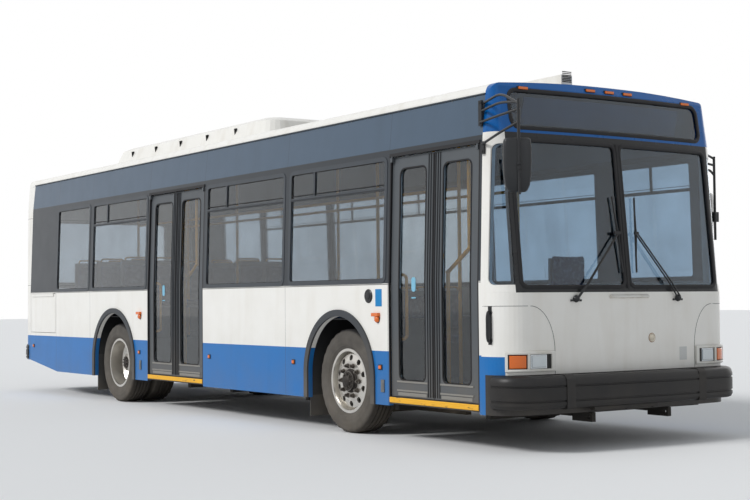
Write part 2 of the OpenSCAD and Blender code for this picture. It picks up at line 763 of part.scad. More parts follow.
// Round holes through a disc, on a circle about the wheel's axis
module disc_holes(x, y, r, hole_r, count) {
    for (i = [0:count - 1])
        translate([x, -y, tyre_r]) rotate([0, (i + 0.5) * 360 / count, 0]) translate([r, 0, 0])
            rotate([90, 0, 0]) cylinder(h = 400, r = hole_r, center = true, $fn = 32);
}

hub_r = 112;
module front_rim_right() {
    inner = bead_r - rim_wall;
    color("silver") {
        rim_barrel(wheel_x, tyre_y);
        difference() {
            spin_right(wheel_x, tyre_y) polygon([[spindle_r + fit_clear, 40], [hub_r, 40],
                [hub_r + 60, 66], [hand_hole_r + 28, 52],
                [inner + 4, 6], [inner + 4, 40], [hand_hole_r + 34, 74], [hub_r + 70, 88], [hub_r - 18, 88],
                [hub_r - 22, 122], [spindle_r + fit_clear, 126]]);
            disc_holes(wheel_x, tyre_y, hand_hole_r, hand_hole_d / 2, hand_holes);
        }
    }
}
module front_rim_left() { mirror([0, 1, 0]) front_rim_right(); }

drive_r = 75;
module rear_rims_right() {
    inner = bead_r - rim_wall;
    mid = twin_gap / 2 + tyre_w / 2;
    color("silver") {
        rim_barrel(drive_x, tyre_y);
        rim_barrel(drive_x, twin_y);
        difference() {
            spin_right(drive_x, tyre_y) polygon([[drive_r + fit_clear, -mid], [hub_r + 60, -mid],
                [inner + 4, -70],
                [inner + 4, -40], [hub_r + 64, -mid + 24], [hub_r, -mid + 24], [hub_r - 8, 10],
                    [hub_r - 40, 26],
                [drive_r + fit_clear, 26]]);
            disc_holes(drive_x, tyre_y, hand_hole_r, hand_hole_d / 2, hand_holes);
        }
        spin_right(drive_x, twin_y) polygon([[drive_r + fit_clear, mid - 0.5], [hub_r + 60, mid - 0.5],
            [inner + 4, 70],
            [inner + 4, 40], [hub_r + 64, mid - 24], [drive_r + fit_clear, mid - 24]]);
    }
}
module rear_rims_left() { mirror([0, 1, 0]) rear_rims_right(); }

// Knuckle: two lugs on the kingpin, an outer web, the stub axle and the brake drum
boss_r = 52;
boss_half = 78;
lug_t = 52;
web = [boss_r + 8, boss_r + 34];
module knuckle_right() {
    lug_z = tyre_r - boss_half - 5 - lug_t;
    color("dimgray") {
        translate([wheel_x, -kingpin_y, lug_z]) cylinder(h = 2 * (boss_half + 5 + lug_t), r = kingpin_r);
        for (z = [lug_z, tyre_r + boss_half + 5]) {
            translate([wheel_x, -kingpin_y, z]) cylinder(h = lug_t, r = boss_r);
            block([wheel_x - boss_r + 8, -kingpin_y - web[1], z],
                [wheel_x + boss_r - 8, -kingpin_y, z + lug_t]);
        }
        block([wheel_x - boss_r + 8, -kingpin_y - web[1], lug_z],
            [wheel_x + boss_r - 8, -kingpin_y - web[0], tyre_r + boss_half + 5 + lug_t]);
        translate([wheel_x, -kingpin_y - web[1] + 2, tyre_r]) rotate([90, 0, 0])
            cylinder(h = 12, r = 205, $fn = 96);
        translate([wheel_x, -kingpin_y - web[1] + 2, tyre_r]) rotate([90, 0, 0])
            cylinder(h = tyre_y + 118 - kingpin_y - web[1], r = spindle_r);
    }
}
module knuckle_left() { mirror([0, 1, 0]) knuckle_right(); }

beam_z = [175, 250];
module front_axle() {
    beam_y = 130 - kingpin_y;
    color("dimgray") {
        both_sides() {
            difference() {
                union() {
                    translate([wheel_x, -kingpin_y, tyre_r - boss_half])
                        cylinder(h = 2 * boss_half, r = boss_r);
                    block([wheel_x - 45, -kingpin_y, tyre_r - boss_half],
                        [wheel_x + 45, beam_y - seat_gap, tyre_r + boss_half - 60]);
                }
                translate([wheel_x, -kingpin_y, 0]) cylinder(h = 2 * tyre_r, r = kingpin_r + fit_clear);
            }
            block([wheel_x - 45, -kingpin_y + 70, beam_z[0]], [wheel_x + 45, beam_y - seat_gap, tyre_r]);
            for (x = [wheel_x + 60, wheel_x - 740])
                block([x + seat_gap, -rail_y - 30, beam_z[0]],
                    [x + 680 - seat_gap, -rail_y + 30, beam_z[0] + 40]);
            for (x = [wheel_x + 740, wheel_x - 800])
                block([x, -rail_y - 30, beam_z[0]], [x + 60, -rail_y + 30, low_rail[0] - seat_gap]);
        }
        block([wheel_x - 60, beam_y, beam_z[0]], [wheel_x + 60, -beam_y, beam_z[1]]);
    }
}

module rear_axle() {
    color("dimgray") {
        translate([drive_x, twin_y - tyre_w / 2 - 40, tyre_r]) rotate([90, 0, 0])
            cylinder(h = 2 * (twin_y - tyre_w / 2 - 40), r = 95);
        both_sides() translate([drive_x, -twin_y + tyre_w / 2 + 60, tyre_r]) rotate([90, 0, 0])
            cylinder(h = tyre_y + 20 - (twin_y - tyre_w / 2 - 60), r = drive_r);
        translate([drive_x, 60, tyre_r]) sphere(r = 205);
        both_sides() {
            block([drive_x - 520, -rail_y - 60, tyre_r - 40], [drive_x + 520, -rail_y + 60, tyre_r + 20]);
            for (x = [drive_x - 430, drive_x + 430])
                translate([x, -rail_y, tyre_r]) cylinder(h = high_rail[0] - seat_gap - tyre_r, r = 110);
        }
    }
}

module engine_block() {
    color("gray") block([tail_front - 60, 35 + seat_gap - rail_y, 470],
        [bay_front - 90 - seat_gap, rail_y - 35 - seat_gap, engine_deck_z - 90]);
}

module rounded_plan(x0, x1, y_half, r) { rounded_rect(x0, x1, -y_half, y_half, r); }

ac_front = front_x - ac_at;
module cooling_unit() {
    foot = crown_at(ac_w / 2) - 2;
    color("white") difference() {
        hull() {
            translate([0, 0, foot]) linear_extrude(40) rounded_plan(ac_front - ac_l, ac_front,
                ac_w / 2, 220);
            translate([0, 0, ac_top - 60]) linear_extrude(20)
                rounded_plan(ac_front - ac_l + 120, ac_front - 50, ac_w / 2 - 40, 200);
            translate([0, 0, ac_top - 20]) linear_extrude(20)
                rounded_plan(ac_front - ac_l + 220, ac_front - 130, ac_w / 2 - 130, 150);
        }
        along_x(ac_front - ac_l - 1, ac_front + 1) polygon(concat([[-half, 0]],
            [[-half, crown_at(half) + seat_gap]],
            [for (i = [-4:4]) let (y = i * shoulder_y / 5) [y, crown_at(y) + seat_gap]],
                [[half, crown_at(half) + seat_gap], [half, 0]]));
    }
}

// Small ventilator cover on the front of the roof: front end, length, and its two sides
box_front = front_x - 510;
box_l = 560;
box_y = [-372, -250];
module roof_box() {
    color("white") difference() {
        block([box_front - box_l, box_y[0], crown_z - 60], [box_front, box_y[1], crown_z + 104]);
        along_x(box_front - box_l - 1, box_front + 1) polygon(concat([[-half, 0]],
            [for (i = [-4:4]) let (y = i * shoulder_y / 5) [y, crown_at(y) + seat_gap]], [[half, 0]]));
    }
}

// Mirrors: tubular arms on plates at the front corners, and the heads that hang on them
function side_y(z) = half - side_inset(z);

// Half the length and half the width that a head takes up when it is turned
function head_reach(turn) = let (d = mirror_head_size[0] / 2, w = mirror_head_size[1] / 2)
    [d * cos(turn) + w * abs(sin(turn)), d * abs(sin(turn)) + w * cos(turn)];

module mirror_head(p, turn) {
    d = mirror_head_size;
    translate(p) rotate([0, 0, turn]) block([-d[0] / 2, -d[1] / 2, 0], [d[0] / 2, d[1] / 2, d[2]]);
}

// Plate on the side from z0 to z1
module arm_plate(x, z0, z1) {
    block([x - 22, -side_y(z0) - 24, z0], [x + 22, -side_y(z0 - 8) - seat_gap, z1]);
}

// Arm from the plate at x to the upright tube: its heights there and at the tube
module mirror_arm(x, tube, heights, r) {
    bar([x, -side_y(heights[0]) - 18, heights[0]], [tube[0], tube[1], heights[1]], r);
}

right_turn = -32;
left_turn = -30;
module mirrors() {
    foot = nose_back - 18;
    fore = nose_back + 30;
    right = [front_x + mirror_lead - head_reach(right_turn)[0], head_reach(right_turn)[1] - mirror_half];
    left = [nose_back + 73, head_reach(left_turn)[1] - mirror_half];
    color("black") {
        arm_plate(foot, 2610, 2815);
        arm_plate(fore, 2380, 2480);
        mirror_arm(foot, right, [2640, 2640], tube_r);
        mirror_arm(foot, right, [2780, 2710], tube_r);
        mirror_arm(fore, right, [2440, 2540], tube_r - 2);
        bar([right[0], right[1], 2735], [right[0], right[1], 2010], tube_r + 1);
        mirror_head([right[0], right[1], 2030], right_turn);
        mirror([0, 1, 0]) {
            arm_plate(fore, 2340, 2560);
            mirror_arm(fore, left, [2380, 2330], tube_r);
            mirror_arm(fore, left, [2520, 2470], tube_r);
            bar([left[0], left[1], 2500], [left[0], left[1], 1740], tube_r + 1);
            mirror_head([left[0], left[1], 1760], left_turn);
        }
    }
}

// Wipers: pivot on the front panel, double arm and blade, one for each pane
wiper_pivot = 579;
module wipers() {
    color("black") for (w = [[-1, -84, 110, 55], [1, 124, 145, 100]]) {
        z = screen_z - 53;
        p = [nose_x - bow_drop(wiper_pivot - 30) + seat_gap, w[0] * wiper_pivot, z];
        tip = [face_x(0, 1760) + 24, w[1], 1760];
        translate(p) rotate([0, 90, 0]) cylinder(h = 34, r = 26, $fn = 32);
        for (d = [-13, 13])
            bar(p + [26, d, d], tip + [0, d / 2, d / 2], 7);
        bar([face_x(0, 2060) + 22, w[0] * w[2], 2060], [face_x(0, 1430) + 22, w[0] * w[3], 1430], 9);
        bar(tip - [0, 20, 0], tip + [0, 20, 0], 9);
    }
}

module headlamps() {
    color("white") intersection() {
        nose_band(640, 792, -14, -0.3);
        for (s = [-1, 1])
            block([nose_back + 120, min(s * 1262, s * 815), 600], [front_x, max(s * 1262, s * 815), 900]);
    }
}

// Side lamps: place behind the front bumper, height, length, height of the lamp
side_lamps = [[1942, 1076, 120, 60], [1893, 630, 50, 40], [5163, 630, 50, 40], [6964, 630, 50, 40],
    [10471, 637, 50, 40], [6949, 1082, 120, 60]];
module lamps() {
    color("orange") {
        both_sides() for (l = side_lamps) block([front_x - l[0] - l[2] / 2, -half - 16, l[1] - l[3] / 2],
            [front_x - l[0] + l[2] / 2, -half - seat_gap, l[1] + l[3] / 2]);
        for (l = [[-929, 2926], [-213, 2956], [0, 2956], [213, 2956], [929, 2926]]) {
            x = face_x(max(0, abs(l[0]) - 45), l[1] - 14) + seat_gap;
            block([x, l[0] - 45, l[1] - 14], [x + 14, l[0] + 45, l[1] + 14]);
        }
        for (s = [-1, 1]) for (z = [790, 930, 1070])
            translate([tail_x - seat_gap, s * 1030, z]) rotate([0, -90, 0])
                cylinder(h = 18, r = 55, $fn = 48);
    }
}

// Double seats: place of the backrest behind the front bumper, side, height of the floor or box under them
seat_rows = [[3900, 1, floor_z], [4650, 1, floor_z], [5400, 1, floor_z], [6150, 1, floor_z],
    [3900, -1, floor_z], [4650, -1, floor_z],
    [7640, 1, deck_z], [8390, 1, deck_z], [9130, 1, deck_z],
    [7640, -1, deck_z], [8390, -1, deck_z], [9130, -1, deck_z]];
function seat_foot(row) = row[2] == deck_z && abs(front_x - row[0] + 200 - drive_x) < rear_reach + 250
    ? box_top + sheet_t : row[2];

module seat_frames() {
    color("gray") for (row = seat_rows) {
        x = front_x - row[0];
        y1 = room_half - seat_wall_gap;
        y0 = y1 - seat_w;
        z = row[2] + seat_h - cushion_t;
        foot = seat_foot(row);
        mirror([0, row[1] > 0 ? 0 : 1, 0]) {
            block([x - 30 + seat_gap, y0, z - 25], [x + cushion_l, y1, z - seat_gap]);
            block([x - 60, y0, z - 25], [x - 30, y1, z + back_h + 40]);
            block([x + 100, room_half - 420, foot + seat_gap], [x + 160, room_half - 160, z - 25 - seat_gap]);
        }
    }
    color("gray") {
        block([front_x - 1560, 560, cab_z + seat_gap], [front_x - 1310, 860, cab_z + 290 - seat_gap]);
        block([front_x - 1700 + seat_gap, 530, cab_z + 290], [front_x - 1300, 890, cab_z + 330]);
        block([front_x - 1740, 530, cab_z + 290], [front_x - 1700, 890, cab_z + 1000]);
    }
}

module seat_pads() {
    color("steelblue") for (row = seat_rows) {
        x = front_x - row[0];
        z = row[2] + seat_h - cushion_t;
        w = seat_w / 2 - 20;
        for (k = [0, 1]) {
            y = room_half - seat_wall_gap - seat_w + 10 + k * seat_w / 2;
            mirror([0, row[1] > 0 ? 0 : 1, 0]) {
                block([x + 30, y, z], [x + cushion_l - 5, y + w, z + cushion_t]);
                block([x - 30 + seat_gap, y, z + cushion_t + 60], [x + 20, y + w, z + back_h + 20]);
            }
        }
    }
    color("dimgray") {
        block([front_x - 1650, 480, cab_z + 330 + seat_gap], [front_x - 1180, 940, cab_z + 430]);
        block([front_x - 1700 + seat_gap, 490, cab_z + 440], [front_x - 1620, 930, cab_z + 1050]);
    }
}

// Height at which a rail at offset y meets the ceiling
function ceiling(y) = let (e = abs(y) + rail_r)
    (e < shoulder_y ? crown_at(e)
        : gutter_z + sqrt(pow(shoulder_r - wall_t, 2) - pow(e - shoulder_y, 2)) + wall_t) - wall_t - 0.8;
// Stanchions stand in pairs along the aisle: place behind the front bumper, height of the floor
stanchion_y = room_half - seat_wall_gap - seat_w - rail_r - 8;
stanchions = [[1960, floor_z], [3300, floor_z], [5140, floor_z], [7560, deck_z], [9060, deck_z]];
// Grab rails inside the doors: place of the foot behind the front bumper
door_rails = [1090, 6040];
module handrails() {
    color("gold") {
        for (y = [-stanchion_y, stanchion_y]) {
            for (s = stanchions)
                bar([front_x - s[0], y, s[1] + seat_gap], [front_x - s[0], y, ceiling(y)], rail_r);
            for (i = [0:len(stanchions) - 2])
                bar([front_x - stanchions[i][0] - rail_r - seat_gap, y, 2250],
                    [front_x - stanchions[i + 1][0] + rail_r + seat_gap, y, 2250], rail_r - 2);
        }
        for (x = door_rails) {
            y = 150 - half;
            bend = [front_x - x, y, 1450];
            knee = [front_x - x + 300, y, 1640];
            bar([bend[0], y, floor_z + seat_gap], bend, rail_r);
            bar(bend, knee, rail_r);
            bar(knee, [knee[0], y, ceiling(y)], rail_r);
            for (p = [bend, knee]) translate(p) sphere(r = rail_r + 4, $fn = 32);
        }
    }
}

module dashboard() {
    column = [nose_back - 250, 710];
    color("darkslategray") {
        translate([0, 950, 0]) rotate([90, 0, 0]) linear_extrude(950 - 180)
            polygon([[nose_back + 40, floor_z + seat_gap], [nose_x - 130, floor_z + seat_gap],
                [nose_x - 130, screen_z - 60], [nose_x - 300, screen_z - 40],
                    [nose_back + 40, screen_z - 160]]);
        translate([0, 0, cab_z + seat_gap]) block([column[0] - 50, column[1] - 50, 0],
            [column[0] + 50, column[1] + 50, 30]);
        bar([column[0], column[1], cab_z + 25], [column[0] - 130, column[1], screen_z - 70], 30);
        translate([column[0] - 140, column[1], screen_z - 40]) rotate([0, -22, 0]) {
            rotate_extrude($fn = 64) translate([210, 0]) circle(r = 15, $fn = 24);
            for (a = [0, 90]) rotate([0, 0, a]) block([-205, -14, -8], [205, 14, 8]);
            translate([0, 0, -40]) cylinder(h = 60, r = 45);
        }
    }
}

module wheel_guards() {
    color("black") {
        both_sides() difference() {
            intersection() {
                arch_cutter(arch_trim);
                block([rear_x, -half - arch_proud, skirt_z], [front_x, -half - seat_gap, sill_z]);
            }
            arch_cutter(0);
        }
        both_sides() for (f = [[wheel_x - steer_reach, floor_z - floor_t - seat_gap],
            [drive_x - rear_reach, deck_z - floor_t - 100]]) {
            x = f[0] - sheet_t - 8 - seat_gap;
            block([x, seat_gap - room_half, 120], [x + 8, 640 - half, f[1]]);
        }
    }
}

right_side_wall();
left_side_wall();
roof();
floor();
chassis_frame();
front_panel();
front_mask();
rear_wall();
front_glass();
cabin_glass();
window_frames();
bumpers();
engine_door();
access_door();
front_door_fore_leaf();
front_door_aft_leaf();
rear_door_fore_leaf();
rear_door_aft_leaf();
front_door_fore_glass();
front_door_aft_glass();
rear_door_fore_glass();
rear_door_aft_glass();
front_tyre_right();
front_tyre_left();
rear_tyres_right();
rear_tyres_left();
front_rim_right();
front_rim_left();
rear_rims_right();
rear_rims_left();
knuckle_right();
knuckle_left();
front_axle();
rear_axle();
engine_block();
cooling_unit();
roof_box();
mirrors();
wipers();
headlamps();
lamps();
seat_frames();
seat_pads();
handrails();
dashboard();
wheel_guards();
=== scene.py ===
import math

import bmesh
import bpy
from mathutils import Matrix, Vector


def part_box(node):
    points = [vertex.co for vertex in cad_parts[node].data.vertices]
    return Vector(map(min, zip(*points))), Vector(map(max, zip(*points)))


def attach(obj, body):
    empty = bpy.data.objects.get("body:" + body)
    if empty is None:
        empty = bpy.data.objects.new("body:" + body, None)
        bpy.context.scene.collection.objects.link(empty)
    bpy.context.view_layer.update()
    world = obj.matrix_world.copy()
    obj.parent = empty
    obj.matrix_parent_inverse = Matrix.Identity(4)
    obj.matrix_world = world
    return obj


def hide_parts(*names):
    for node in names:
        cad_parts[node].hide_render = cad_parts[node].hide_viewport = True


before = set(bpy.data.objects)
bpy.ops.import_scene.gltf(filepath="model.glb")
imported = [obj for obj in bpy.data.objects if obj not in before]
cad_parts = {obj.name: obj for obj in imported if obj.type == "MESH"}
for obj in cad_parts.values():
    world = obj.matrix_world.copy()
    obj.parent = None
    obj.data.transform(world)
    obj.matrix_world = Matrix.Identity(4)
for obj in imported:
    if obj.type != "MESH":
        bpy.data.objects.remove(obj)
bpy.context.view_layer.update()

# ---------------------------------------------------------------- Camera
# A long lens at a standing person's eye height, a bus length off the right front corner,
# turned a third of the way round to the side and tilted up a touch.
heading, tilt, roll = math.radians(34.063), math.radians(2.07), math.radians(-0.518)
ahead = Vector((-math.cos(tilt) * math.cos(heading), math.cos(tilt) * math.sin(heading), math.sin(tilt)))
level = Vector((math.sin(heading), math.cos(heading), 0))
rise = level.cross(ahead)
to_right = level * math.cos(roll) + rise * math.sin(roll)
to_top = rise * math.cos(roll) - level * math.sin(roll)
lens = bpy.data.cameras.new("camera")
lens.sensor_width, lens.lens = 36.0, 66.35
lens.clip_start, lens.clip_end = 0.1, 400
camera = bpy.data.objects.new("camera", lens)
camera.matrix_world = Matrix((
    (to_right.x, to_top.x, -ahead.x, 13.553), (to_right.y, to_top.y, -ahead.y, -8.159),
    (to_right.z, to_top.z, -ahead.z, 1.222), (0, 0, 0, 1)))
bpy.context.scene.collection.objects.link(camera)
bpy.context.scene.camera = camera

# ---------------------------------------------------------------- Floor, backdrop and lamps
# A pale floor, a white surround that glass and metal also see, a soft high key light on the
# door side and a weaker one from the front.
def linear(code):
    parts = [int(code[i:i + 2], 16) / 255 for i in (1, 3, 5)]
    return tuple(c / 12.92 if c < 0.04045 else ((c + 0.055) / 1.055) ** 2.4 for c in parts)


def node_of(tree, kind, place=(0, 0), **settings):
    node = tree.nodes.new(kind)
    node.location = place
    for key, value in settings.items():
        setattr(node, key, value)
    return node


world = bpy.data.worlds.new("white_room")
bpy.context.scene.world = world
world.use_nodes = True
room = world.node_tree
room.nodes.clear()
dim, bright = node_of(room, "ShaderNodeBackground"), node_of(room, "ShaderNodeBackground")
dim.inputs["Color"].default_value, dim.inputs["Strength"].default_value = (0.90, 0.95, 1, 1), 0.42
bright.inputs["Color"].default_value, bright.inputs["Strength"].default_value = (1, 1, 1, 1), 1.0
rays = node_of(room, "ShaderNodeLightPath")
seen = node_of(room, "ShaderNodeMath", operation="MAXIMUM")
direct = node_of(room, "ShaderNodeMath", operation="MAXIMUM")
room.links.new(rays.outputs["Is Camera Ray"], direct.inputs[0])
room.links.new(rays.outputs["Is Transmission Ray"], direct.inputs[1])
room.links.new(direct.outputs[0], seen.inputs[0])
room.links.new(rays.outputs["Is Glossy Ray"], seen.inputs[1])
choose, sky = node_of(room, "ShaderNodeMixShader"), node_of(room, "ShaderNodeOutputWorld")
room.links.new(seen.outputs[0], choose.inputs[0])
room.links.new(dim.outputs[0], choose.inputs[1])
room.links.new(bright.outputs[0], choose.inputs[2])
room.links.new(choose.outputs[0], sky.inputs[0])

floor_finish = bpy.data.materials.new("pale_floor")
floor_finish.use_nodes = True
floor_shader = floor_finish.node_tree.nodes["Principled BSDF"]
floor_shader.inputs["Base Color"].default_value = (0.86, 0.86, 0.86, 1)
floor_shader.inputs["Roughness"].default_value = 0.9
floor_mesh = bpy.data.meshes.new("studio_floor")
floor_mesh.from_pydata([(-90, -90, 0), (90, -90, 0), (90, 90, 0), (-90, 90, 0)], [], [(0, 1, 2, 3)])
studio_floor = bpy.data.objects.new("studio_floor", floor_mesh)
floor_mesh.materials.append(floor_finish)
bpy.context.scene.collection.objects.link(studio_floor)

for name, power, soft, aim in (("key", 1.95, 0.25, (0.12, 0.78, -0.62)),
        ("front_fill", 0.08, 0.6, (-0.9, 0.1, -0.35)),
        ("far_fill", 0.3, 0.6, (0.3, -0.9, -0.3))):
    lamp = bpy.data.lights.new(name, "SUN")
    lamp.energy, lamp.angle = power, soft
    holder = bpy.data.objects.new(name, lamp)
    holder.rotation_mode = "QUATERNION"
    holder.rotation_quaternion = Vector(aim).to_track_quat("-Z", "Y")
    bpy.context.scene.collection.objects.link(holder)
bpy.context.scene.view_settings.view_transform = "Standard"

# ---------------------------------------------------------------- Body sides and rear
# Steel and glass-fibre panels in gloss paint: blue skirt, white flank, dark grey window belt
# and a slate band up to the gutter, with narrow butt joints; road dust lies low down.
front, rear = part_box("bumpers")[1][0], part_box("bumpers")[0][0]
half = -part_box("right_side_wall")[0][1]
SILL, BAND, GUTTER, STRIPE = 1.358, 2.527, 2.873, 0.764
BLUE, WHITE, SLATE, BELT = linear("#006CB4"), linear("#ECEAE5"), linear("#495A6C"), linear("#30353B")
JOINT_DARK = (0.03, 0.033, 0.037)


def at(distance):
    return front - distance


def side_y(z):
    if z <= SILL:
        return half
    if z <= BAND:
        return half - 0.038 * (z - SILL) / (BAND - SILL)
    return half - 0.038 - 0.035 * (min(z, GUTTER) - BAND) / (GUTTER - BAND)


def join(tree, a, b):
    tree.links.new(a, b)


def mix_colour(tree, factor, a, b, mode="MIX"):
    node = node_of(tree, "ShaderNodeMix", data_type="RGBA", blend_type=mode)
    for socket, value in ((node.inputs[0], factor), (node.inputs[6], a), (node.inputs[7], b)):
        if hasattr(value, "links"):
            join(tree, value, socket)
        elif hasattr(value, "__len__"):
            socket.default_value = (*value[:3], 1)
        else:
            socket.default_value = value
    return node.outputs[2]


def sum_of(tree, operation, *values):
    node = node_of(tree, "ShaderNodeMath", operation=operation)
    for socket, value in zip(node.inputs, values):
        if hasattr(value, "links"):
            join(tree, value, socket)
        else:
            socket.default_value = value
    return node.outputs[0]


def ranged(tree, value, low, high, to_low=0.0, to_high=1.0):
    node = node_of(tree, "ShaderNodeMapRange")
    for socket, v in zip(list(node.inputs)[1:5], (low, high, to_low, to_high)):
        socket.default_value = v
    join(tree, value, node.inputs[0])
    return node.outputs[0]


def noise(tree, place, scale, detail=4.0, squash=(1, 1, 1)):
    spread = node_of(tree, "ShaderNodeMapping")
    spread.inputs["Scale"].default_value = squash
    grain = node_of(tree, "ShaderNodeTexNoise")
    grain.inputs["Scale"].default_value, grain.inputs["Detail"].default_value = scale, detail
    join(tree, place, spread.inputs["Vector"])
    join(tree, spread.outputs[0], grain.inputs["Vector"])
    return grain.outputs["Fac"]


wear = bpy.data.node_groups.new("road_wear", "ShaderNodeTree")
for title, kind in (("Colour", "Color"), ("Roughness", "Float"), ("Dust", "Float"), ("Streaks", "Float"),
        ("Grain", "Float")):
    wear.interface.new_socket(name=title, in_out="INPUT", socket_type="NodeSocket" + kind)
for title, kind in (("Colour", "Color"), ("Roughness", "Float"), ("Height", "Float")):
    wear.interface.new_socket(name=title, in_out="OUTPUT", socket_type="NodeSocket" + kind)
given, result = node_of(wear, "NodeGroupInput"), node_of(wear, "NodeGroupOutput")
where = node_of(wear, "ShaderNodeTexCoord").outputs["Object"]
apart = node_of(wear, "ShaderNodeSeparateXYZ")
join(wear, where, apart.inputs[0])
mottle = noise(wear, where, 4.0, 7.0)
runs = ranged(wear, noise(wear, where, 3.0, 5.0, (2.2, 2.2, 0.35)), 0.5, 0.78)
runs = sum_of(wear, "MULTIPLY", runs, given.outputs["Streaks"])
low_down = ranged(wear, apart.outputs["Z"], 0.15, 1.0, 1.0, 0.0)
dusty = sum_of(wear, "MULTIPLY",
    sum_of(wear, "MULTIPLY", low_down, ranged(wear, mottle, 0.3, 0.7, 0.35, 1.0)), given.outputs["Dust"])
stained = mix_colour(wear, runs, given.outputs["Colour"], (0.72, 0.66, 0.58), "MULTIPLY")
shifted = mix_colour(wear, ranged(wear, mottle, 0.3, 0.7, 0.0, 0.5), stained, (0.93, 0.92, 0.90), "MULTIPLY")
join(wear, mix_colour(wear, dusty, shifted, linear("#8B8071")), result.inputs["Colour"])
rougher = sum_of(wear, "ADD", given.outputs["Roughness"], sum_of(wear, "MULTIPLY", dusty, 0.4))
join(wear, sum_of(wear, "ADD", rougher, ranged(wear, mottle, 0.2, 0.8, -0.05, 0.05)),
    result.inputs["Roughness"])
join(wear, sum_of(wear, "MULTIPLY", noise(wear, where, 45.0, 5.0), given.outputs["Grain"]),
    result.inputs["Height"])


def new_finish(name, colour, roughness, metallic=0.0, dust=0.0, streaks=0.0, grain=0.3, bump=0.15, coat=0.0,
        painted=None):
    """A worn finish: a colour, or what painted() wires up, under road dust, runs and a fine grain."""
    material = bpy.data.materials.new(name)
    material.use_nodes = True
    tree = material.node_tree
    shader = tree.nodes["Principled BSDF"]
    use = node_of(tree, "ShaderNodeGroup", node_tree=wear)
    use.inputs["Colour"].default_value = (*colour, 1)
    if painted:
        spot = node_of(tree, "ShaderNodeTexCoord").outputs["Object"]
        split = node_of(tree, "ShaderNodeSeparateXYZ")
        join(tree, spot, split.inputs[0])
        join(tree, painted(tree, split.outputs["X"], split.outputs["Y"], split.outputs["Z"], spot),
            use.inputs["Colour"])
    for key, value in (("Roughness", roughness), ("Dust", dust), ("Streaks", streaks), ("Grain", grain)):
        use.inputs[key].default_value = value
    raised = node_of(tree, "ShaderNodeBump")
    raised.inputs["Strength"].default_value, raised.inputs["Distance"].default_value = bump, 0.002
    join(tree, use.outputs["Colour"], shader.inputs["Base Color"])
    join(tree, use.outputs["Roughness"], shader.inputs["Roughness"])
    join(tree, use.outputs["Height"], raised.inputs["Height"])
    join(tree, raised.outputs[0], shader.inputs["Normal"])
    shader.inputs["Metallic"].default_value = metallic
    shader.inputs["Coat Weight"].default_value = coat
    shader.inputs["Specular IOR Level"].default_value = 0.25
    shader.inputs["Coat Roughness"].default_value = 0.08
    return material


def banded(tree, z, stops, tallest=3.3):
    """Plain bands of colour up a height: (height where it starts, colour)."""
    ramp = node_of(tree, "ShaderNodeValToRGB")
    ramp.color_ramp.interpolation = "CONSTANT"
    for i, (start, colour) in enumerate(stops):
        stop = ramp.color_ramp.elements[0] if i == 0 else ramp.color_ramp.elements.new(start / tallest)
        stop.position, stop.color = start / tallest, (*colour, 1)
    while len(ramp.color_ramp.elements) > len(stops):
        ramp.color_ramp.elements.remove(ramp.color_ramp.elements[-1])
    join(tree, sum_of(tree, "DIVIDE", z, tallest), ramp.inputs[0])
    return ramp.outputs[0]


def butt_joints(tree, along, places, width):
    total = 0.0
    for p in places:
        total = sum_of(tree, "ADD", total, sum_of(tree, "COMPARE", along, p, width))
    return sum_of(tree, "MINIMUM", total, 1.0)


joints_at = [at(d) for d in (1.776, 3.545, 5.319, 6.736, 8.467, 9.633)] + [rear + 0.318]


def side_colours(tree, x, y, z, spot):
    bands = banded(tree, z, [(0, BLUE), (STRIPE, WHITE), (SILL, BELT), (BAND, SLATE), (GUTTER, WHITE)])
    seams = sum_of(tree, "MAXIMUM", butt_joints(tree, x, joints_at, 0.0022),
        butt_joints(tree, z, [SILL, BAND, 2.868], 0.004))
    flank = sum_of(tree, "MULTIPLY", sum_of(tree, "COMPARE", z, 1.06, 0.30),
        sum_of(tree, "LESS_THAN", x, at(9.7)))
    seams = sum_of(tree, "MULTIPLY", seams,
        sum_of(tree, "SUBTRACT", 1.0, sum_of(tree, "MULTIPLY", flank, 0.6)))
    return mix_colour(tree, sum_of(tree, "MULTIPLY", seams, 0.8), bands, JOINT_DARK)


side_paint = new_finish("side_paint", WHITE, 0.32, dust=0.25, streaks=0.2, coat=0.06, painted=side_colours)


def repaint(node, material):
    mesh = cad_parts[node].data
    mesh.materials.clear()
    mesh.materials.append(material)


for panel in ("right_side_wall", "left_side_wall", "access_door"):
    repaint(panel, side_paint)


def rear_colours(tree, x, y, z, spot):
    bands = banded(tree, z, [(0, BLUE), (STRIPE, WHITE)])
    seams = butt_joints(tree, z, [1.47, 2.41], 0.003)
    return mix_colour(tree, sum_of(tree, "MULTIPLY", seams, 0.7), bands, JOINT_DARK)


rear_paint = new_finish("rear_paint", WHITE, 0.34, dust=0.5, streaks=0.4, coat=0.06, painted=rear_colours)
for panel in ("rear_wall", "engine_door"):
    repaint(panel, rear_paint)


def add_box(bm, low, high):
    made = bmesh.ops.create_cube(bm, size=1.0)["verts"]
    low, high = Vector(low), Vector(high)
    for v in made:
        v.co = Vector((low[i] + (v.co[i] + 0.5) * (high[i] - low[i]) for i in range(3)))
    return made


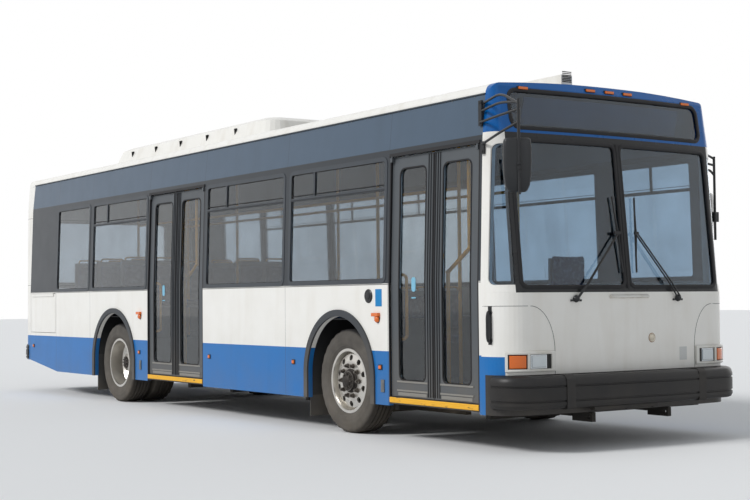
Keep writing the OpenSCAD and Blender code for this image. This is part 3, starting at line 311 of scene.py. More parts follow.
def sweep(bm, path, outline, outward, closed=False):
    """Runs an outline of (across, out) points along a path; outward is one direction, or one for each."""
    count = len(path)
    rings = []
    for i, p in enumerate(path):
        a = path[i - 1] if i or closed else path[0]
        b = path[(i + 1) % count] if i < count - 1 or closed else path[-1]
        along = (b - a).normalized()
        out = outward[i] if isinstance(outward, list) else Vector(outward)
        across = along.cross(out).normalized()
        out = across.cross(along)
        rings.append([bm.verts.new(p + across * u + out * v) for u, v in outline])
    for i in range(count if closed else count - 1):
        a, b = rings[i], rings[(i + 1) % count]
        for k in range(len(outline)):
            n = (k + 1) % len(outline)
            bm.faces.new((a[k], a[n], b[n], b[k]))
    if not closed:
        bm.faces.new(list(reversed(rings[0])))
        bm.faces.new(rings[-1])


def circle(r, count=10):
    return [(r * math.cos(i * math.tau / count), r * math.sin(i * math.tau / count)) for i in range(count)]


def rounded(path, radius=0.05, count=5):
    """A path with its inner corners rounded."""
    result = [Vector(path[0])]
    for a, p, b in zip(path, path[1:], path[2:]):
        a, p, b = Vector(a), Vector(p), Vector(b)
        r = min(radius, (a - p).length * 0.45, (b - p).length * 0.45)
        start, end = p + (a - p).normalized() * r, p + (b - p).normalized() * r
        for i in range(count + 1):
            t = i / count
            result.append(start * (1 - t) ** 2 + p * 2 * t * (1 - t) + end * t ** 2)
    result.append(Vector(path[-1]))
    return result


def fit_piece(name, bm, material, body="body", bevel=0.0, smooth=35):
    """Turns a bmesh into a finished piece that rides on a body."""
    bmesh.ops.recalc_face_normals(bm, faces=bm.faces)
    mesh = bpy.data.meshes.new(name)
    bm.to_mesh(mesh)
    bm.free()
    mesh.materials.append(material)
    piece = bpy.data.objects.new(name, mesh)
    bpy.context.scene.collection.objects.link(piece)
    for face in mesh.polygons:
        face.use_smooth = True
    mesh.set_sharp_from_angle(angle=math.radians(smooth))
    if bevel:
        edge = piece.modifiers.new("edge", "BEVEL")
        edge.width, edge.segments, edge.limit_method, edge.angle_limit = bevel, 2, "ANGLE", math.radians(40)
        edge.harden_normals = True
    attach(piece, body)
    return piece


# ---------------------------------------------------------------- Roof, cooling unit and ventilator
# White roof skin with dirty runs; a moulded cover with narrow slanted drain slots houses the
# cooling unit, and a small cowl with a slatted front stands by the sign.
roof_paint = new_finish("roof_paint", WHITE, 0.42, streaks=0.35, coat=0.1)
for panel in ("roof", "cooling_unit", "roof_box"):
    repaint(panel, roof_paint)
# The drain slots and the gaps in the cowl's slatted front are thin near-black blocks: painted shade inside
# the openings.
slot_shade_black = new_finish("slot_shade_black", (0.012, 0.012, 0.013), 0.6)

ac_low, ac_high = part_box("cooling_unit")


def new_tree(name, sockets):
    """An empty geometry tree with named inputs, and the nodes of its inputs and its output."""
    tree = bpy.data.node_groups.new(name, "GeometryNodeTree")
    tree.interface.new_socket(name="Geometry", in_out="OUTPUT", socket_type="NodeSocketGeometry")
    for title, kind in sockets:
        tree.interface.new_socket(name=title, in_out="INPUT", socket_type="NodeSocket" + kind)
    return tree, node_of(tree, "NodeGroupInput"), node_of(tree, "NodeGroupOutput")


def row_tree():
    """Slats or slots in a row: blocks of one size along a line."""
    tree, given, out = new_tree("row", (("Count", "Int"), ("Start", "Vector"), ("Step", "Vector"),
        ("Size", "Vector"), ("Turn", "Vector"), ("Finish", "Material")))
    line, block = node_of(tree, "GeometryNodeMeshLine", mode="OFFSET"), node_of(tree, "GeometryNodeMeshCube")
    place, real, dress = (node_of(tree, k)
        for k in ("GeometryNodeInstanceOnPoints", "GeometryNodeRealizeInstances", "GeometryNodeSetMaterial"))
    for a, b in (("Count", line.inputs["Count"]), ("Start", line.inputs["Start Location"]),
            ("Step", line.inputs["Offset"]),
            ("Size", block.inputs["Size"]), ("Turn", place.inputs["Rotation"]),
            ("Finish", dress.inputs["Material"])):
        join(tree, given.outputs[a], b)
    join(tree, line.outputs[0], place.inputs["Points"])
    join(tree, block.outputs["Mesh"], place.inputs["Instance"])
    join(tree, place.outputs[0], real.inputs[0])
    join(tree, real.outputs[0], dress.inputs[0])
    join(tree, dress.outputs[0], out.inputs[0])
    return tree


def from_tree(name, tree, values, body="body", bevel=0.0):
    """Evaluates a tree to a plain piece."""
    piece = bpy.data.objects.new(name, bpy.data.meshes.new(name))
    bpy.context.scene.collection.objects.link(piece)
    step = piece.modifiers.new("tree", "NODES")
    step.node_group = tree
    for item in tree.interface.items_tree:
        if item.in_out == "INPUT" and item.name in values:
            step[item.identifier] = values[item.name]
    mesh = bpy.data.meshes.new_from_object(piece.evaluated_get(bpy.context.evaluated_depsgraph_get()))
    piece.modifiers.clear()
    piece.data = mesh
    if bevel:
        edge = piece.modifiers.new("edge", "BEVEL")
        edge.width, edge.segments = bevel, 2
    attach(piece, body)
    return piece


row = row_tree()
for label, s in (("right", -1), ("left", 1)):
    from_tree(f"cooling_slots_{label}", row, {
        "Count": 5, "Start": (ac_low[0] + 0.62, s * (ac_high[1] - 0.022), 3.075), "Step": (0.68, 0, 0),
        "Size": (0.008, 0.034, 0.10), "Turn": (s * -0.30, 0.42, 0), "Finish": slot_shade_black})
box_low, box_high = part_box("roof_box")
from_tree("cowl_grille", row, {
    "Count": 7, "Start": (box_high[0] + 0.002, (box_low[1] + box_high[1]) / 2, box_low[2] + 0.05),
    "Step": (0, 0, 0.014),
    "Size": (0.006, 0.10, 0.007), "Turn": (0, 0, 0), "Finish": slot_shade_black})

# ---------------------------------------------------------------- Front panel
# Glass-fibre nose in white gloss with a blue corner stripe. Shallow seams part the centre from
# the quarter-round corner shells that carry the lamps.
nose_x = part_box("front_panel")[1][0]
CORNER, BOW = 0.25, 12.0
reach = half - CORNER
lean = math.asin(reach / (BOW - CORNER))
bow_length = BOW * lean


def nose_point(s, z, out=0.0, set_back=0.0):
    """Point on the nose: s metres round from its middle, to the left."""
    a, centre = abs(s), nose_x - set_back - BOW
    if a < bow_length:
        t = a / BOW
        x, y = centre + (BOW + out) * math.cos(t), (BOW + out) * math.sin(t)
    else:
        t = lean + (a - bow_length) / CORNER
        x, y = centre + (BOW - CORNER) * math.cos(lean) + (CORNER + out) * math.cos(t), reach + (CORNER
            + out) * math.sin(t)
    return Vector((x, math.copysign(y, s), z))


def nose_normal(s):
    return (nose_point(s, 0, 1.0) - nose_point(s, 0, 0.0)).normalized()


def nose_colours(tree, x, y, z, spot):
    outer = sum_of(tree, "GREATER_THAN", sum_of(tree, "ABSOLUTE", y), 1.226)
    stripe = sum_of(tree, "MULTIPLY", outer, sum_of(tree, "LESS_THAN", z, STRIPE))
    low = sum_of(tree, "LESS_THAN", z, 0.62)
    side = sum_of(tree, "LESS_THAN", x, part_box("front_panel")[0][0] + 0.045)
    body = mix_colour(tree, stripe, WHITE, BLUE)
    return mix_colour(tree, sum_of(tree, "MULTIPLY", low, sum_of(tree, "SUBTRACT", 1.0, side)), body,
        (0.02, 0.02, 0.022))


nose_paint = new_finish("nose_paint", WHITE, 0.34, dust=0.2, streaks=0.25, coat=0.06, painted=nose_colours)
repaint("front_panel", nose_paint)
seam_dark = new_finish("seam_dark", linear("#3B4043"), 0.7)

bm = bmesh.new()
flat_line = [(-0.0018, -0.001), (0.0018, -0.001), (0.0018, 0.0008), (-0.0018, 0.0008)]
seam_z, seam_across, seam_down = 1.164, 0.235, 0.36
level_places = [bow_length + 0.39 - i * 0.0405 for i in range(11)]
for s in (-1, 1):
    sweep(bm, [nose_point(s * a, seam_z) for a in level_places], flat_line,
        [nose_normal(s * a) for a in level_places])
    turns = [math.radians(a) for a in range(0, 91, 6)]
    spots = [(1.03 - seam_across * math.sin(a), seam_z - seam_down * (1 - math.cos(a))) for a in turns]
    spots += [(0.795, 0.74), (0.795, 0.66), (0.795, 0.622)]
    sweep(bm, [nose_point(s * a, z) for a, z in spots], flat_line, [nose_normal(s * a) for a, z in spots])
fit_piece("front_seams", bm, seam_dark)

# ---------------------------------------------------------------- Small fittings on the nose
# A hooded lamp bar that weeps rust, a round metal cap in a ring of rust, a blank sticker, and
# a grab handle at the right corner.
rail_white = new_finish("rail_white", linear("#D9D7D2"), 0.4, streaks=0.8, coat=0.2)
bm = bmesh.new()
hood = [(-0.012, 0.0), (-0.012, 0.010), (-0.004, 0.026), (0.010, 0.028), (0.014, 0.020), (0.014, 0.0)]
places = [-0.215 + 0.43 * i / 12 for i in range(13)]
outwards = [nose_normal(s) for s in places]
sweep(bm, [nose_point(s, 1.236) for s in places], hood, outwards)
fit_piece("hooded_bar", bm, rail_white, bevel=0.0015)

rust_brown = linear("#8A5A32")


def rust_tears(tree, x, y, z, spot):
    tears = ranged(tree, noise(tree, spot, 9.0, 6.0, (1, 3.5, 0.6)), 0.5, 0.66)
    return mix_colour(tree, sum_of(tree, "MULTIPLY", tears, 0.65), linear("#CFCBC4"), rust_brown)


rust_finish = new_finish("rust_lip", WHITE, 0.7, painted=rust_tears)
bm = bmesh.new()
lip = [(-0.0035, 0), (-0.0035, 0.012), (0.0035, 0.012), (0.0035, 0)]
sweep(bm, [nose_point(s, 1.2215) for s in places], lip, outwards)
fit_piece("bar_lip", bm, rust_finish)


def disc(bm, centre, normal, outline, count=28):
    """A turned piece: outline of (radius, out) about an axis that leaves the surface."""
    turn = Vector(normal).to_track_quat("Z", "Y")
    rings = [[bm.verts.new(Vector(centre)
        + turn @ Vector((r * math.cos(a * math.tau / count), r * math.sin(a * math.tau / count), h)))
        for a in range(count)] for r, h in outline]
    for a, b in zip(rings, rings[1:]):
        for i in range(count):
            bm.faces.new((a[i], a[(i + 1) % count], b[(i + 1) % count], b[i]))
    bm.faces.new(rings[-1])
    bm.faces.new(list(reversed(rings[0])))


cap_metal = new_finish("cap_metal", linear("#B9B3A6"), 0.38, metallic=0.9, streaks=0.5)
rust_ring = new_finish("rust_ring", rust_brown, 0.75)
cap_spot, cap_out = nose_point(0.262, 0.886), nose_normal(0.262)
bm = bmesh.new()
disc(bm, cap_spot, cap_out, [(0.034, -0.002), (0.036, 0.004), (0.032, 0.007), (0.026, 0.004),
    (0.022, 0.006), (0.004, 0.008)])
fit_piece("nose_cap", bm, cap_metal)
bm = bmesh.new()
disc(bm, cap_spot, cap_out, [(0.040, -0.002), (0.040, 0.0012), (0.030, 0.0012)])
fit_piece("nose_cap_stain", bm, rust_ring)

bare_film = new_finish("bare_film", linear("#C9CAC9"), 0.55)
bm = bmesh.new()
marks = [0.60 + 0.0115 * i for i in range(9)]
film = [(-0.056, 0), (-0.056, 0.0012), (0.056, 0.0012), (0.056, 0)]
sweep(bm, [nose_point(s, 0.745) for s in marks], film, [nose_normal(s) for s in marks])
fit_piece("blank_sticker", bm, bare_film)

black_satin = new_finish("black_satin", (0.018, 0.019, 0.021), 0.42, dust=0.15, coat=0.1)
bm = bmesh.new()
grip_s = -1.375
grip_line = ((1.125, 0.0), (1.118, 0.030), (1.08, 0.040), (0.93, 0.040), (0.888, 0.030), (0.882, 0.0))
grip = [nose_point(grip_s, z, out) for z, out in grip_line]
sweep(bm, rounded(grip, 0.015, 4), circle(0.011), (0.0, 1.0, 0.2))
for z in (1.115, 0.892):
    disc(bm, nose_point(grip_s, z), nose_normal(grip_s), [(0.022, 0), (0.022, 0.005), (0.012, 0.007)])
pad = [(-0.018, 0), (-0.018, 0.002), (0.018, 0.002), (0.018, 0)]
sweep(bm, [nose_point(grip_s, z) for z in (1.165, 1.02, 0.86)], pad, nose_normal(grip_s))
fit_piece("corner_grab_handle", bm, black_satin)

# ---------------------------------------------------------------- Front mask, gaskets and sign
# The raked upper front: blue moulding over the sign, black posts round a two-piece
# windshield in rubber gaskets, white pillars, and a blank sign box behind its own glass.
# This blue is the mask's paint darkened with painted shade, the tone its front face has in shade.
MASK_BLUE_SHADED = linear("#005AA2")
RAKE = [(1.27, 0.0), (1.358, 0.0117), (2.527, 0.1287), (2.933, 0.195), (2.995, 0.225), (3.01, 0.255)]


def face_point(y, z, out=0.0):
    """Point on the raked front at offset y and height z."""
    back = 0.0
    for (z0, b0), (z1, b1) in zip(RAKE, RAKE[1:]):
        if z0 <= z <= z1:
            back = b0 + (b1 - b0) * (z - z0) / (z1 - z0)
    return Vector((nose_x - back - BOW + math.sqrt(BOW * BOW - y * y) + out, y, z))


def mask_colours(tree, x, y, z, spot):
    upper = sum_of(tree, "GREATER_THAN", z, 2.556)
    outer = sum_of(tree, "GREATER_THAN", sum_of(tree, "ABSOLUTE", y), 1.152)
    lower = mix_colour(tree, outer, (0.013, 0.014, 0.016), WHITE)
    return mix_colour(tree, upper, lower, MASK_BLUE_SHADED)


mask_paint = new_finish("mask_paint", MASK_BLUE_SHADED, 0.28, streaks=0.2, coat=0.08, painted=mask_colours)
repaint("front_mask", mask_paint)


def ring_path(y0, y1, z0, z1, r, count=6):
    """A rectangle with round corners, as points no more than 80 mm apart."""
    spots = []
    for cy, cz, a0 in ((y1 - r, z0 + r, -90), (y1 - r, z1 - r, 0), (y0 + r, z1 - r, 90),
            (y0 + r, z0 + r, 180)):
        turns = [math.radians(a0 + 90 * i / count) for i in range(count + 1)]
        spots += [(cy + r * math.cos(a), cz + r * math.sin(a)) for a in turns]
    full = []
    for (ya, za), (yb, zb) in zip(spots, spots[1:] + spots[:1]):
        steps = max(1, int(math.hypot(yb - ya, zb - za) / 0.08))
        full += [(ya + (yb - ya) * i / steps, za + (zb - za) * i / steps) for i in range(steps)]
    return full


rubber = new_finish("rubber", (0.016, 0.016, 0.018), 0.55, dust=0.1, grain=0.6)
seal = [(-0.020, -0.006), (-0.020, 0.004), (-0.012, 0.010), (0.004, 0.010), (0.014, 0.003), (0.014, -0.010)]
bm = bmesh.new()
for s in (-1, 1):
    y0, y1 = sorted((s * 0.023, s * 1.105))
    sweep(bm, [face_point(y, z) for y, z in ring_path(y0, y1, 1.31, 2.50, 0.06)], seal, (1, 0, 0),
        closed=True)
sweep(bm, [face_point(y, z) for y, z in ring_path(-1.08, 1.08, 2.592, 2.910, 0.08)], seal, (1, 0, 0),
    closed=True)
sweep(bm, [face_point(0, z) for z in (1.30, 1.7, 2.1, 2.505)],
    [(-0.020, 0.0), (-0.012, 0.012), (0.012, 0.012), (0.020, 0.0)], (1, 0, 0))
fit_piece("front_gaskets", bm, rubber)

sign_back = new_finish("sign_back", linear("#0B1B2C"), 0.55)
sign_blank = new_finish("sign_blank", linear("#2C4763"), 0.45, grain=0.6)
for title, yh, z0, z1, inset, finish in (("sign_box", 1.15, 2.545, 2.935, 0.120, sign_back),
        ("sign_panel", 0.885, 2.645, 2.862, 0.090, sign_blank)):
    bm = bmesh.new()
    spots = [-yh + 2 * yh * i / 16 for i in range(17)]
    tall, leant, thick = (z1 - z0) / 2, 0.028, 0.012
    board = [(tall, -thick - leant), (-tall, leant - thick), (-tall, leant), (tall, -leant)]
    sweep(bm, [face_point(y, (z0 + z1) / 2, -inset) for y in spots], board, (1, 0, 0))
    fit_piece(title, bm, finish, bevel=0.003)

# ---------------------------------------------------------------- Glass
# Tinted safety glass: held in rubber in front, clamped in frames along the sides and in the
# doors. Each pane is a little hazy with road film.
def tinted(name, colour, roughness=0.015):
    material = bpy.data.materials.new(name)
    material.use_nodes = True
    tree = material.node_tree
    shader = tree.nodes["Principled BSDF"]
    spot = node_of(tree, "ShaderNodeTexCoord").outputs["Object"]
    haze = ranged(tree, noise(tree, spot, 3.0, 6.0), 0.35, 0.75)
    join(tree, mix_colour(tree, haze, colour, [c * 0.86 for c in colour]), shader.inputs["Base Color"])
    join(tree, ranged(tree, noise(tree, spot, 12.0, 3.0), 0.4, 0.8, roughness, roughness + 0.04),
        shader.inputs["Roughness"])
    shader.inputs["Transmission Weight"].default_value = 1.0
    shader.inputs["IOR"].default_value = 1.5
    return material


screen_glass = tinted("screen_glass", (0.40, 0.55, 0.70))
cabin_pane = tinted("cabin_pane", (0.46, 0.52, 0.57))
door_pane = tinted("door_pane", (0.56, 0.61, 0.64))
repaint("front_glass", screen_glass)
repaint("cabin_glass", cabin_pane)
leaves = ("front_door_fore", "front_door_aft", "rear_door_fore", "rear_door_aft")
for leaf in leaves:
    repaint(leaf + "_glass", door_pane)

# ---------------------------------------------------------------- Window frames
# Anodised dark grey aluminium frames with rounded corners, a transom and hopper vents above;
# black rubber holds each pane.
frame_metal = new_finish("frame_metal", linear("#41464C"), 0.4, metallic=0.35, dust=0.2, coat=0.1)
repaint("window_frames", frame_metal)
# Each window: its fore and aft edges behind the front bumper, or ahead of the rear one where
# negative, and whether it has vents.
windows = [(1.803, 3.497, 1), (3.573, 5.276, 1), (6.770, 8.435, 1), (8.504, -1.272, 0)]
left_windows = [(0.560, 1.560, 1), *windows[:2], (5.352, 6.694, 1), *windows[2:]]
bead = [(-0.005, 0.0), (-0.005, 0.006), (0.003, 0.008), (0.006, 0.003), (0.006, 0.0)]
vent_rib = [(-0.003, 0), (-0.003, 0.003), (0.003, 0.003), (0.003, 0)]
bm = bmesh.new()
for s, wins in ((-1, windows), (1, left_windows)):
    for fore, aft, vents in wins:
        x1, x0 = at(fore) - 0.040, (at(aft) if aft > 0 else rear - aft) + 0.040
        loop = [Vector((x, s * (side_y(z) - 0.008), z)) for x, z in ring_path(x0, x1, 1.406, 2.446, 0.03, 4)]
        sweep(bm, loop, bead, (0, s, 0), closed=True)
        if vents:
            for z in (2.196, 2.238):
                sweep(bm, [Vector((x, s * (side_y(z) + 0.0015), z)) for x in (x0, x1)], vent_rib, (0, s, 0))
fit_piece("pane_beads", bm, rubber)

# ---------------------------------------------------------------- Doors
# Each doorway has two swinging leaves: grey aluminium stiles, tall glass, a kick panel with two
# bright strips, rubber noses where the leaves meet, and a pull bar inside.
door_grey = new_finish("door_grey", linear("#565A5E"), 0.45, metallic=0.2, dust=0.35)
strip_grey = new_finish("strip_grey", linear("#8F8D88"), 0.42, metallic=0.5, dust=0.2)
bar_yellow = new_finish("bar_yellow", linear("#E8A21D"), 0.32, coat=0.4)
sticker_blue = new_finish("sticker_blue", linear("#7FB8D2"), 0.5)
door_seal = [(-0.008, 0), (-0.008, 0.005), (0.004, 0.006), (0.008, 0.0), (0.008, -0.012), (0, -0.012)]
for leaf in leaves:
    repaint(leaf + "_leaf", door_grey)
    low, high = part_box(leaf + "_leaf")
    fore = leaf.endswith("fore")
    x0, x1 = low[0], high[0]
    face = -(half - 0.020)
    bm = bmesh.new()
    for z in (0.432, 0.508):
        add_box(bm, (x0 + 0.085, face - 0.006, z), (x1 - 0.085, face - 0.0002, z + 0.016))
    add_box(bm, (x0 + 0.10, face - 0.004, 0.395), (x1 - 0.10, face - 0.0002, 0.425))
    fit_piece(leaf + "_strips", bm, strip_grey, leaf, bevel=0.002)
    bm = bmesh.new()
    meet = x0 if fore else x1
    for k, wide in ((0.010, 0.016), (0.046, 0.010), (0.078, 0.006)):
        x = meet + k if fore else meet - k
        sweep(bm, [Vector((x, -(side_y(z) - 0.020), z)) for z in (0.40, SILL, 2.455)],
            [(-wide / 2, 0), (-wide / 2, 0.005), (0, 0.008), (wide / 2, 0.005), (wide / 2, 0)], (0, -1, 0))
    g0, g1 = x0 + 0.116, x1 - 0.116
    loop = [Vector((x, -(side_y(z) - 0.022), z)) for x, z in ring_path(g0, g1, 0.526, 2.361, 0.06, 5)]
    sweep(bm, loop, door_seal, (0, -1, 0), closed=True)
    fit_piece(leaf + "_rubbers", bm, rubber, leaf)
    bm = bmesh.new()
    x, y = x1 - 0.10 if fore else x0 + 0.10, -(half - 0.085)
    pull_low, pull_high = 0.88, 1.44
    pull = [(x, y, pull_low), (x, y + 0.035, pull_low + 0.02), (x, y + 0.035, pull_high - 0.02),
        (x, y, pull_high)]
    sweep(bm, rounded(pull, 0.02, 4), circle(0.014), (1, 0, 0.1))
    for y_wall, z in ((half, pull_low), (side_y(pull_high), pull_high)):
        sweep(bm, [Vector((x, -(y_wall - 0.05), z)), Vector((x, y + 0.004, z))], circle(0.012), (1, 0, 0))
    fit_piece(leaf + "_pull_bar", bm, bar_yellow, leaf)
    if not fore:
        bm = bmesh.new()
        mid = (x0 + x1) / 2 + 0.01
        plate = [Vector((mid + a, 0, 1.352 + b)) for a,
            b in ring_path(-0.030, 0.030, -0.062, 0.062, 0.026, 5)]
        glass_y = -(side_y(1.352) - 0.0378 + 0.0035)
        front_ring = [bm.verts.new((p.x, glass_y - 0.0015, p.z)) for p in plate]
        back_ring = [bm.verts.new((p.x, glass_y + 0.0005, p.z)) for p in plate]
        bm.faces.new(front_ring)
        bm.faces.new(list(reversed(back_ring)))
        for i in range(len(plate)):
            n = (i + 1) % len(plate)
            bm.faces.new((front_ring[i], back_ring[i], back_ring[n], front_ring[n]))
        add_box(bm, (mid - 0.032, glass_y - 0.0012, 1.232), (mid + 0.032, glass_y + 0.0004, 1.243))
        fit_piece(leaf + "_sticker", bm, sticker_blue, leaf)

# ---------------------------------------------------------------- Doorway steps and posts
# Ribbed safety-yellow nosing on each doorstep, worn at the lip, with black rubber
# seals along the posts and over each doorway.
def worn_yellow(tree, x, y, z, spot):
    chips = ranged(tree, noise(tree, spot, 24.0, 6.0, (0.4, 1, 1.6)), 0.60, 0.68)
    return mix_colour(tree, chips, linear("#F3B62C"), linear("#6B5A3C"))


step_yellow = new_finish("step_yellow", linear("#F3B62C"), 0.5, dust=0.15, painted=worn_yellow)
bm = bmesh.new()
doorways = ((0.495, 1.764), (5.319, 6.736))
for d0, d1 in doorways:
    x0, x1 = at(d1) + 0.012, at(d0) - 0.012
    rows = [(0.0, -0.003), (0.0, 0.006)]
    rows += [(0.004 + 0.0062 * k, 0.0085 if k % 2 else 0.0065) for k in range(7)]
    rows += [(0.046, 0.006), (0.046, -0.003)]
    sweep(bm, [Vector((x, -(half - 0.002), 0.332)) for x in (x0, x1)], [(-u, v) for u, v in rows], (0, -1, 0))
fit_piece("step_nosings", bm, step_yellow, bevel=0.0008)
post_seal = [(-0.007, 0.012), (-0.007, -0.004), (0.007, -0.004), (0.007, 0.012)]
head_z, drip_rail = 2.484, [(-0.016, 0), (-0.016, 0.006), (0.012, 0.010), (0.016, 0)]
bm = bmesh.new()
for d0, d1 in doorways:
    for x in (at(d0) - 0.008, at(d1) + 0.008):
        sweep(bm, [Vector((x, -(side_y(z) - 0.004), z)) for z in (0.335, SILL, 2.472)], post_seal, (0, 1, 0))
    rail = [Vector((x, -(side_y(head_z) + 0.001), head_z)) for x in (at(d1), at(d0))]
    sweep(bm, rail, drip_rail, (0, -1, 0))
fit_piece("doorway_rubbers", bm, rubber)

# ---------------------------------------------------------------- Bumpers
# Moulded black rubber over a steel beam, with two grooves all along; steel straps clamp the
# front one, and a short valance hangs under its middle.
bumper_rubber = new_finish("bumper_rubber", linear("#1A1B1E"), 0.38, dust=0.12, grain=1.0, bump=0.25)
strap_black = new_finish("strap_black", linear("#1C1D20"), 0.5, dust=0.2)
bump_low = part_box("bumpers")[0]


def wrap_path(tip, wide, r, x_back, bow=0.0, z=0.0):
    """Plan of a bumper, from the right end round to the left end, and each point's outward direction."""
    path, outs = [Vector((x_back, -wide, z))], [Vector((0, -1, 0))]
    if bow:
        a0 = math.asin((wide - r) / (bow - r))
        centre = tip - bow
        corner_x, ends = centre + (bow - r) * math.cos(a0), math.degrees(a0)
    else:
        corner_x, ends = tip - r, 0.0
    for i in range(15):
        a = math.radians(-90 + (90 - ends) * i / 14)
        path.append(Vector((corner_x + r * math.cos(a), -(wide - r) + r * math.sin(a), z)))
        outs.append(Vector((math.cos(a), math.sin(a), 0)))
    for i in range(1, 24):
        y = (wide - r) * (-1 + 2 * i / 24)
        x = centre + math.sqrt(bow * bow - y * y) if bow else tip
        path.append(Vector((x, y, z)))
        outs.append(Vector((1, y / bow if bow else 0, 0)).normalized())
    for i in range(15):
        a = math.radians(ends + (90 - ends) * i / 14)
        path.append(Vector((corner_x + r * math.cos(a), (wide - r) + r * math.sin(a), z)))
        outs.append(Vector((math.cos(a), math.sin(a), 0)))
    return path + [Vector((x_back, wide, z))], outs + [Vector((0, 1, 0))]


def bumper_outline(tall, deep, grooves):
    up = [(0, -deep), (0, -0.030), (0.006, -0.014), (0.030, 0.0)]
    for g in grooves:
        up += [(g - 0.008, 0.0), (g - 0.005, -0.009), (g + 0.005, -0.009), (g + 0.008, 0.0)]
    up += [(tall - 0.052, 0.0), (tall - 0.020, -0.010), (tall - 0.006, -0.024), (tall, -0.042), (tall, -deep)]
    return [(-z, out) for z, out in up]


bm = bmesh.new()
path, outs = wrap_path(front, half + 0.014, 0.27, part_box("front_panel")[0][0] + 0.12, BOW, bump_low[2])
sweep(bm, path, bumper_outline(0.262, 0.122, (0.062, 0.178)), outs)
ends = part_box("right_side_wall")[0][0]
path, outs = wrap_path(-rear, half + 0.014, 0.21, -(ends - 0.06), 0.0, 0.432)
path = [Vector((-p.x, p.y, p.z)) for p in reversed(path)]
outs = [Vector((-o.x, o.y, o.z)) for o in reversed(outs)]
sweep(bm, path, bumper_outline(0.222, 0.048, (0.055, 0.150)), outs)
bumper_covers = fit_piece("bumper_covers", bm, bumper_rubber, smooth=28)
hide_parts("bumpers")
steel_strip = [(-0.045, -0.003), (-0.045, 0.0035), (0.045, 0.0035), (0.045, -0.003)]
bm = bmesh.new()
for y in (-0.745, 0.745):
    x = front - BOW + math.sqrt(BOW * BOW - y * y)
    hoop = [(x - 0.10, 0.349), (x - 0.012, 0.349), (x, 0.362), (x, 0.585), (x - 0.030, 0.6165),
        (x - 0.13, 0.6165)]
    sweep(bm, rounded([(a, y, b) for a, b in hoop], 0.012, 3), steel_strip, (1, 0, 0.35))
fit_piece("bumper_straps", bm, strap_black, bevel=0.001)
bm = bmesh.new()
add_box(bm, (front - 0.10, -0.48, 0.322), (front - 0.045, 0.24, 0.353))
for y in (-0.44, -0.10, 0.20):
    add_box(bm, (front - 0.085, y - 0.012, 0.312), (front - 0.06, y + 0.012, 0.324))
fit_piece("front_valance", bm, strap_black, bevel=0.006)
bm = bmesh.new()
for y in (-0.089, 0.089):
    for z in (0.4825, 0.6035):
        disc(bm, (rear + 0.0005, y, z), (-1, 0, 0), [(0.0075, 0), (0.0075, 0.0012), (0.004, 0.0022)], 12)
fit_piece("plate_nuts", bm, cap_metal)

# ---------------------------------------------------------------- Headlamps
# Each corner has a white moulded bezel with a black well: an amber indicator outboard and a
# sealed rectangular lamp with a fluted lens.
bezel_white = new_finish("bezel_white", linear("#DEDCD6"), 0.4, streaks=0.6, coat=0.2)
amber = new_finish("amber", linear("#E06A10"), 0.2, coat=0.8, bump=0.05)
well_black = new_finish("well_black", (0.02, 0.02, 0.02), 0.5)
reflector = new_finish("reflector", linear("#C9CED2"), 0.16, metallic=1.0)


# The lens flutes are painted as grey and near-white bands: painted glints and painted shade of the ribs.
def fluted_glints(tree, x, y, z, spot):
    ribs = node_of(tree, "ShaderNodeTexWave", bands_direction="Y")
    ribs.inputs["Scale"].default_value = 30.0
    join(tree, spot, ribs.inputs["Vector"])
    return mix_colour(tree, ribs.outputs["Fac"], linear("#9FA9AF"), linear("#E4E9EC"))


lamp_lens = new_finish("lamp_lens", WHITE, 0.12, metallic=0.35, coat=0.9, painted=fluted_glints)


def nose_bar(bm, s0, s1, z0, z1, out0, out1, soft=0.0):
    """A bar bent round the nose from s0 to s1, with its outer edges cut off by soft."""
    steps = max(2, int(abs(s1 - s0) / 0.02))
    path = [nose_point(s0 + (s1 - s0) * i / steps, z0) for i in range(steps + 1)]
    outs = [nose_normal(s0 + (s1 - s0) * i / steps) for i in range(steps + 1)]
    tall, line = z1 - z0, [(0, out0), (0, out1), (z1 - z0, out1), (z1 - z0, out0)]
    if soft:
        line = [(0, out0), (0, out1 - soft), (soft, out1), (tall - soft, out1), (tall, out1 - soft),
            (tall, out0)]
    sweep(bm, path, [(-u, v) for u, v in line], outs)


# Bars of the bezel: inner and outer end round the nose, low and high edge.
bezel_bars = ((0.80, 1.25, 0.782, 0.804), (0.80, 1.25, 0.645, 0.666), (1.228, 1.25, 0.655, 0.79),
    (0.80, 0.838, 0.655, 0.79), (1.050, 1.072, 0.66, 0.785))
shells, wells, ambers, mirrors_in, lenses = (bmesh.new() for _ in range(5))
for s in (-1, 1):
    for a, b, z0, z1 in bezel_bars:
        nose_bar(shells, *sorted((s * a, s * b)), z0, z1, -0.001, 0.020, 0.004)
    nose_bar(wells, *sorted((s * 0.82, s * 1.24)), 0.66, 0.79, 0.0005, 0.004)
    nose_bar(ambers, *sorted((s * 1.085, s * 1.218)), 0.673, 0.775, 0.003, 0.017, 0.006)
    nose_bar(mirrors_in, *sorted((s * 0.882, s * 1.040)), 0.668, 0.780, 0.003, 0.008, 0.002)
    nose_bar(lenses, *sorted((s * 0.892, s * 1.030)), 0.676, 0.772, 0.007, 0.015, 0.005)
head_bezels = fit_piece("head_bezels", shells, bezel_white, bevel=0.002)
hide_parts("headlamps")
fit_piece("head_wells", wells, well_black)
fit_piece("indicators", ambers, amber, bevel=0.002)
fit_piece("lamp_reflectors", mirrors_in, reflector, bevel=0.001)
fit_piece("lamp_lenses", lenses, lamp_lens, bevel=0.002)

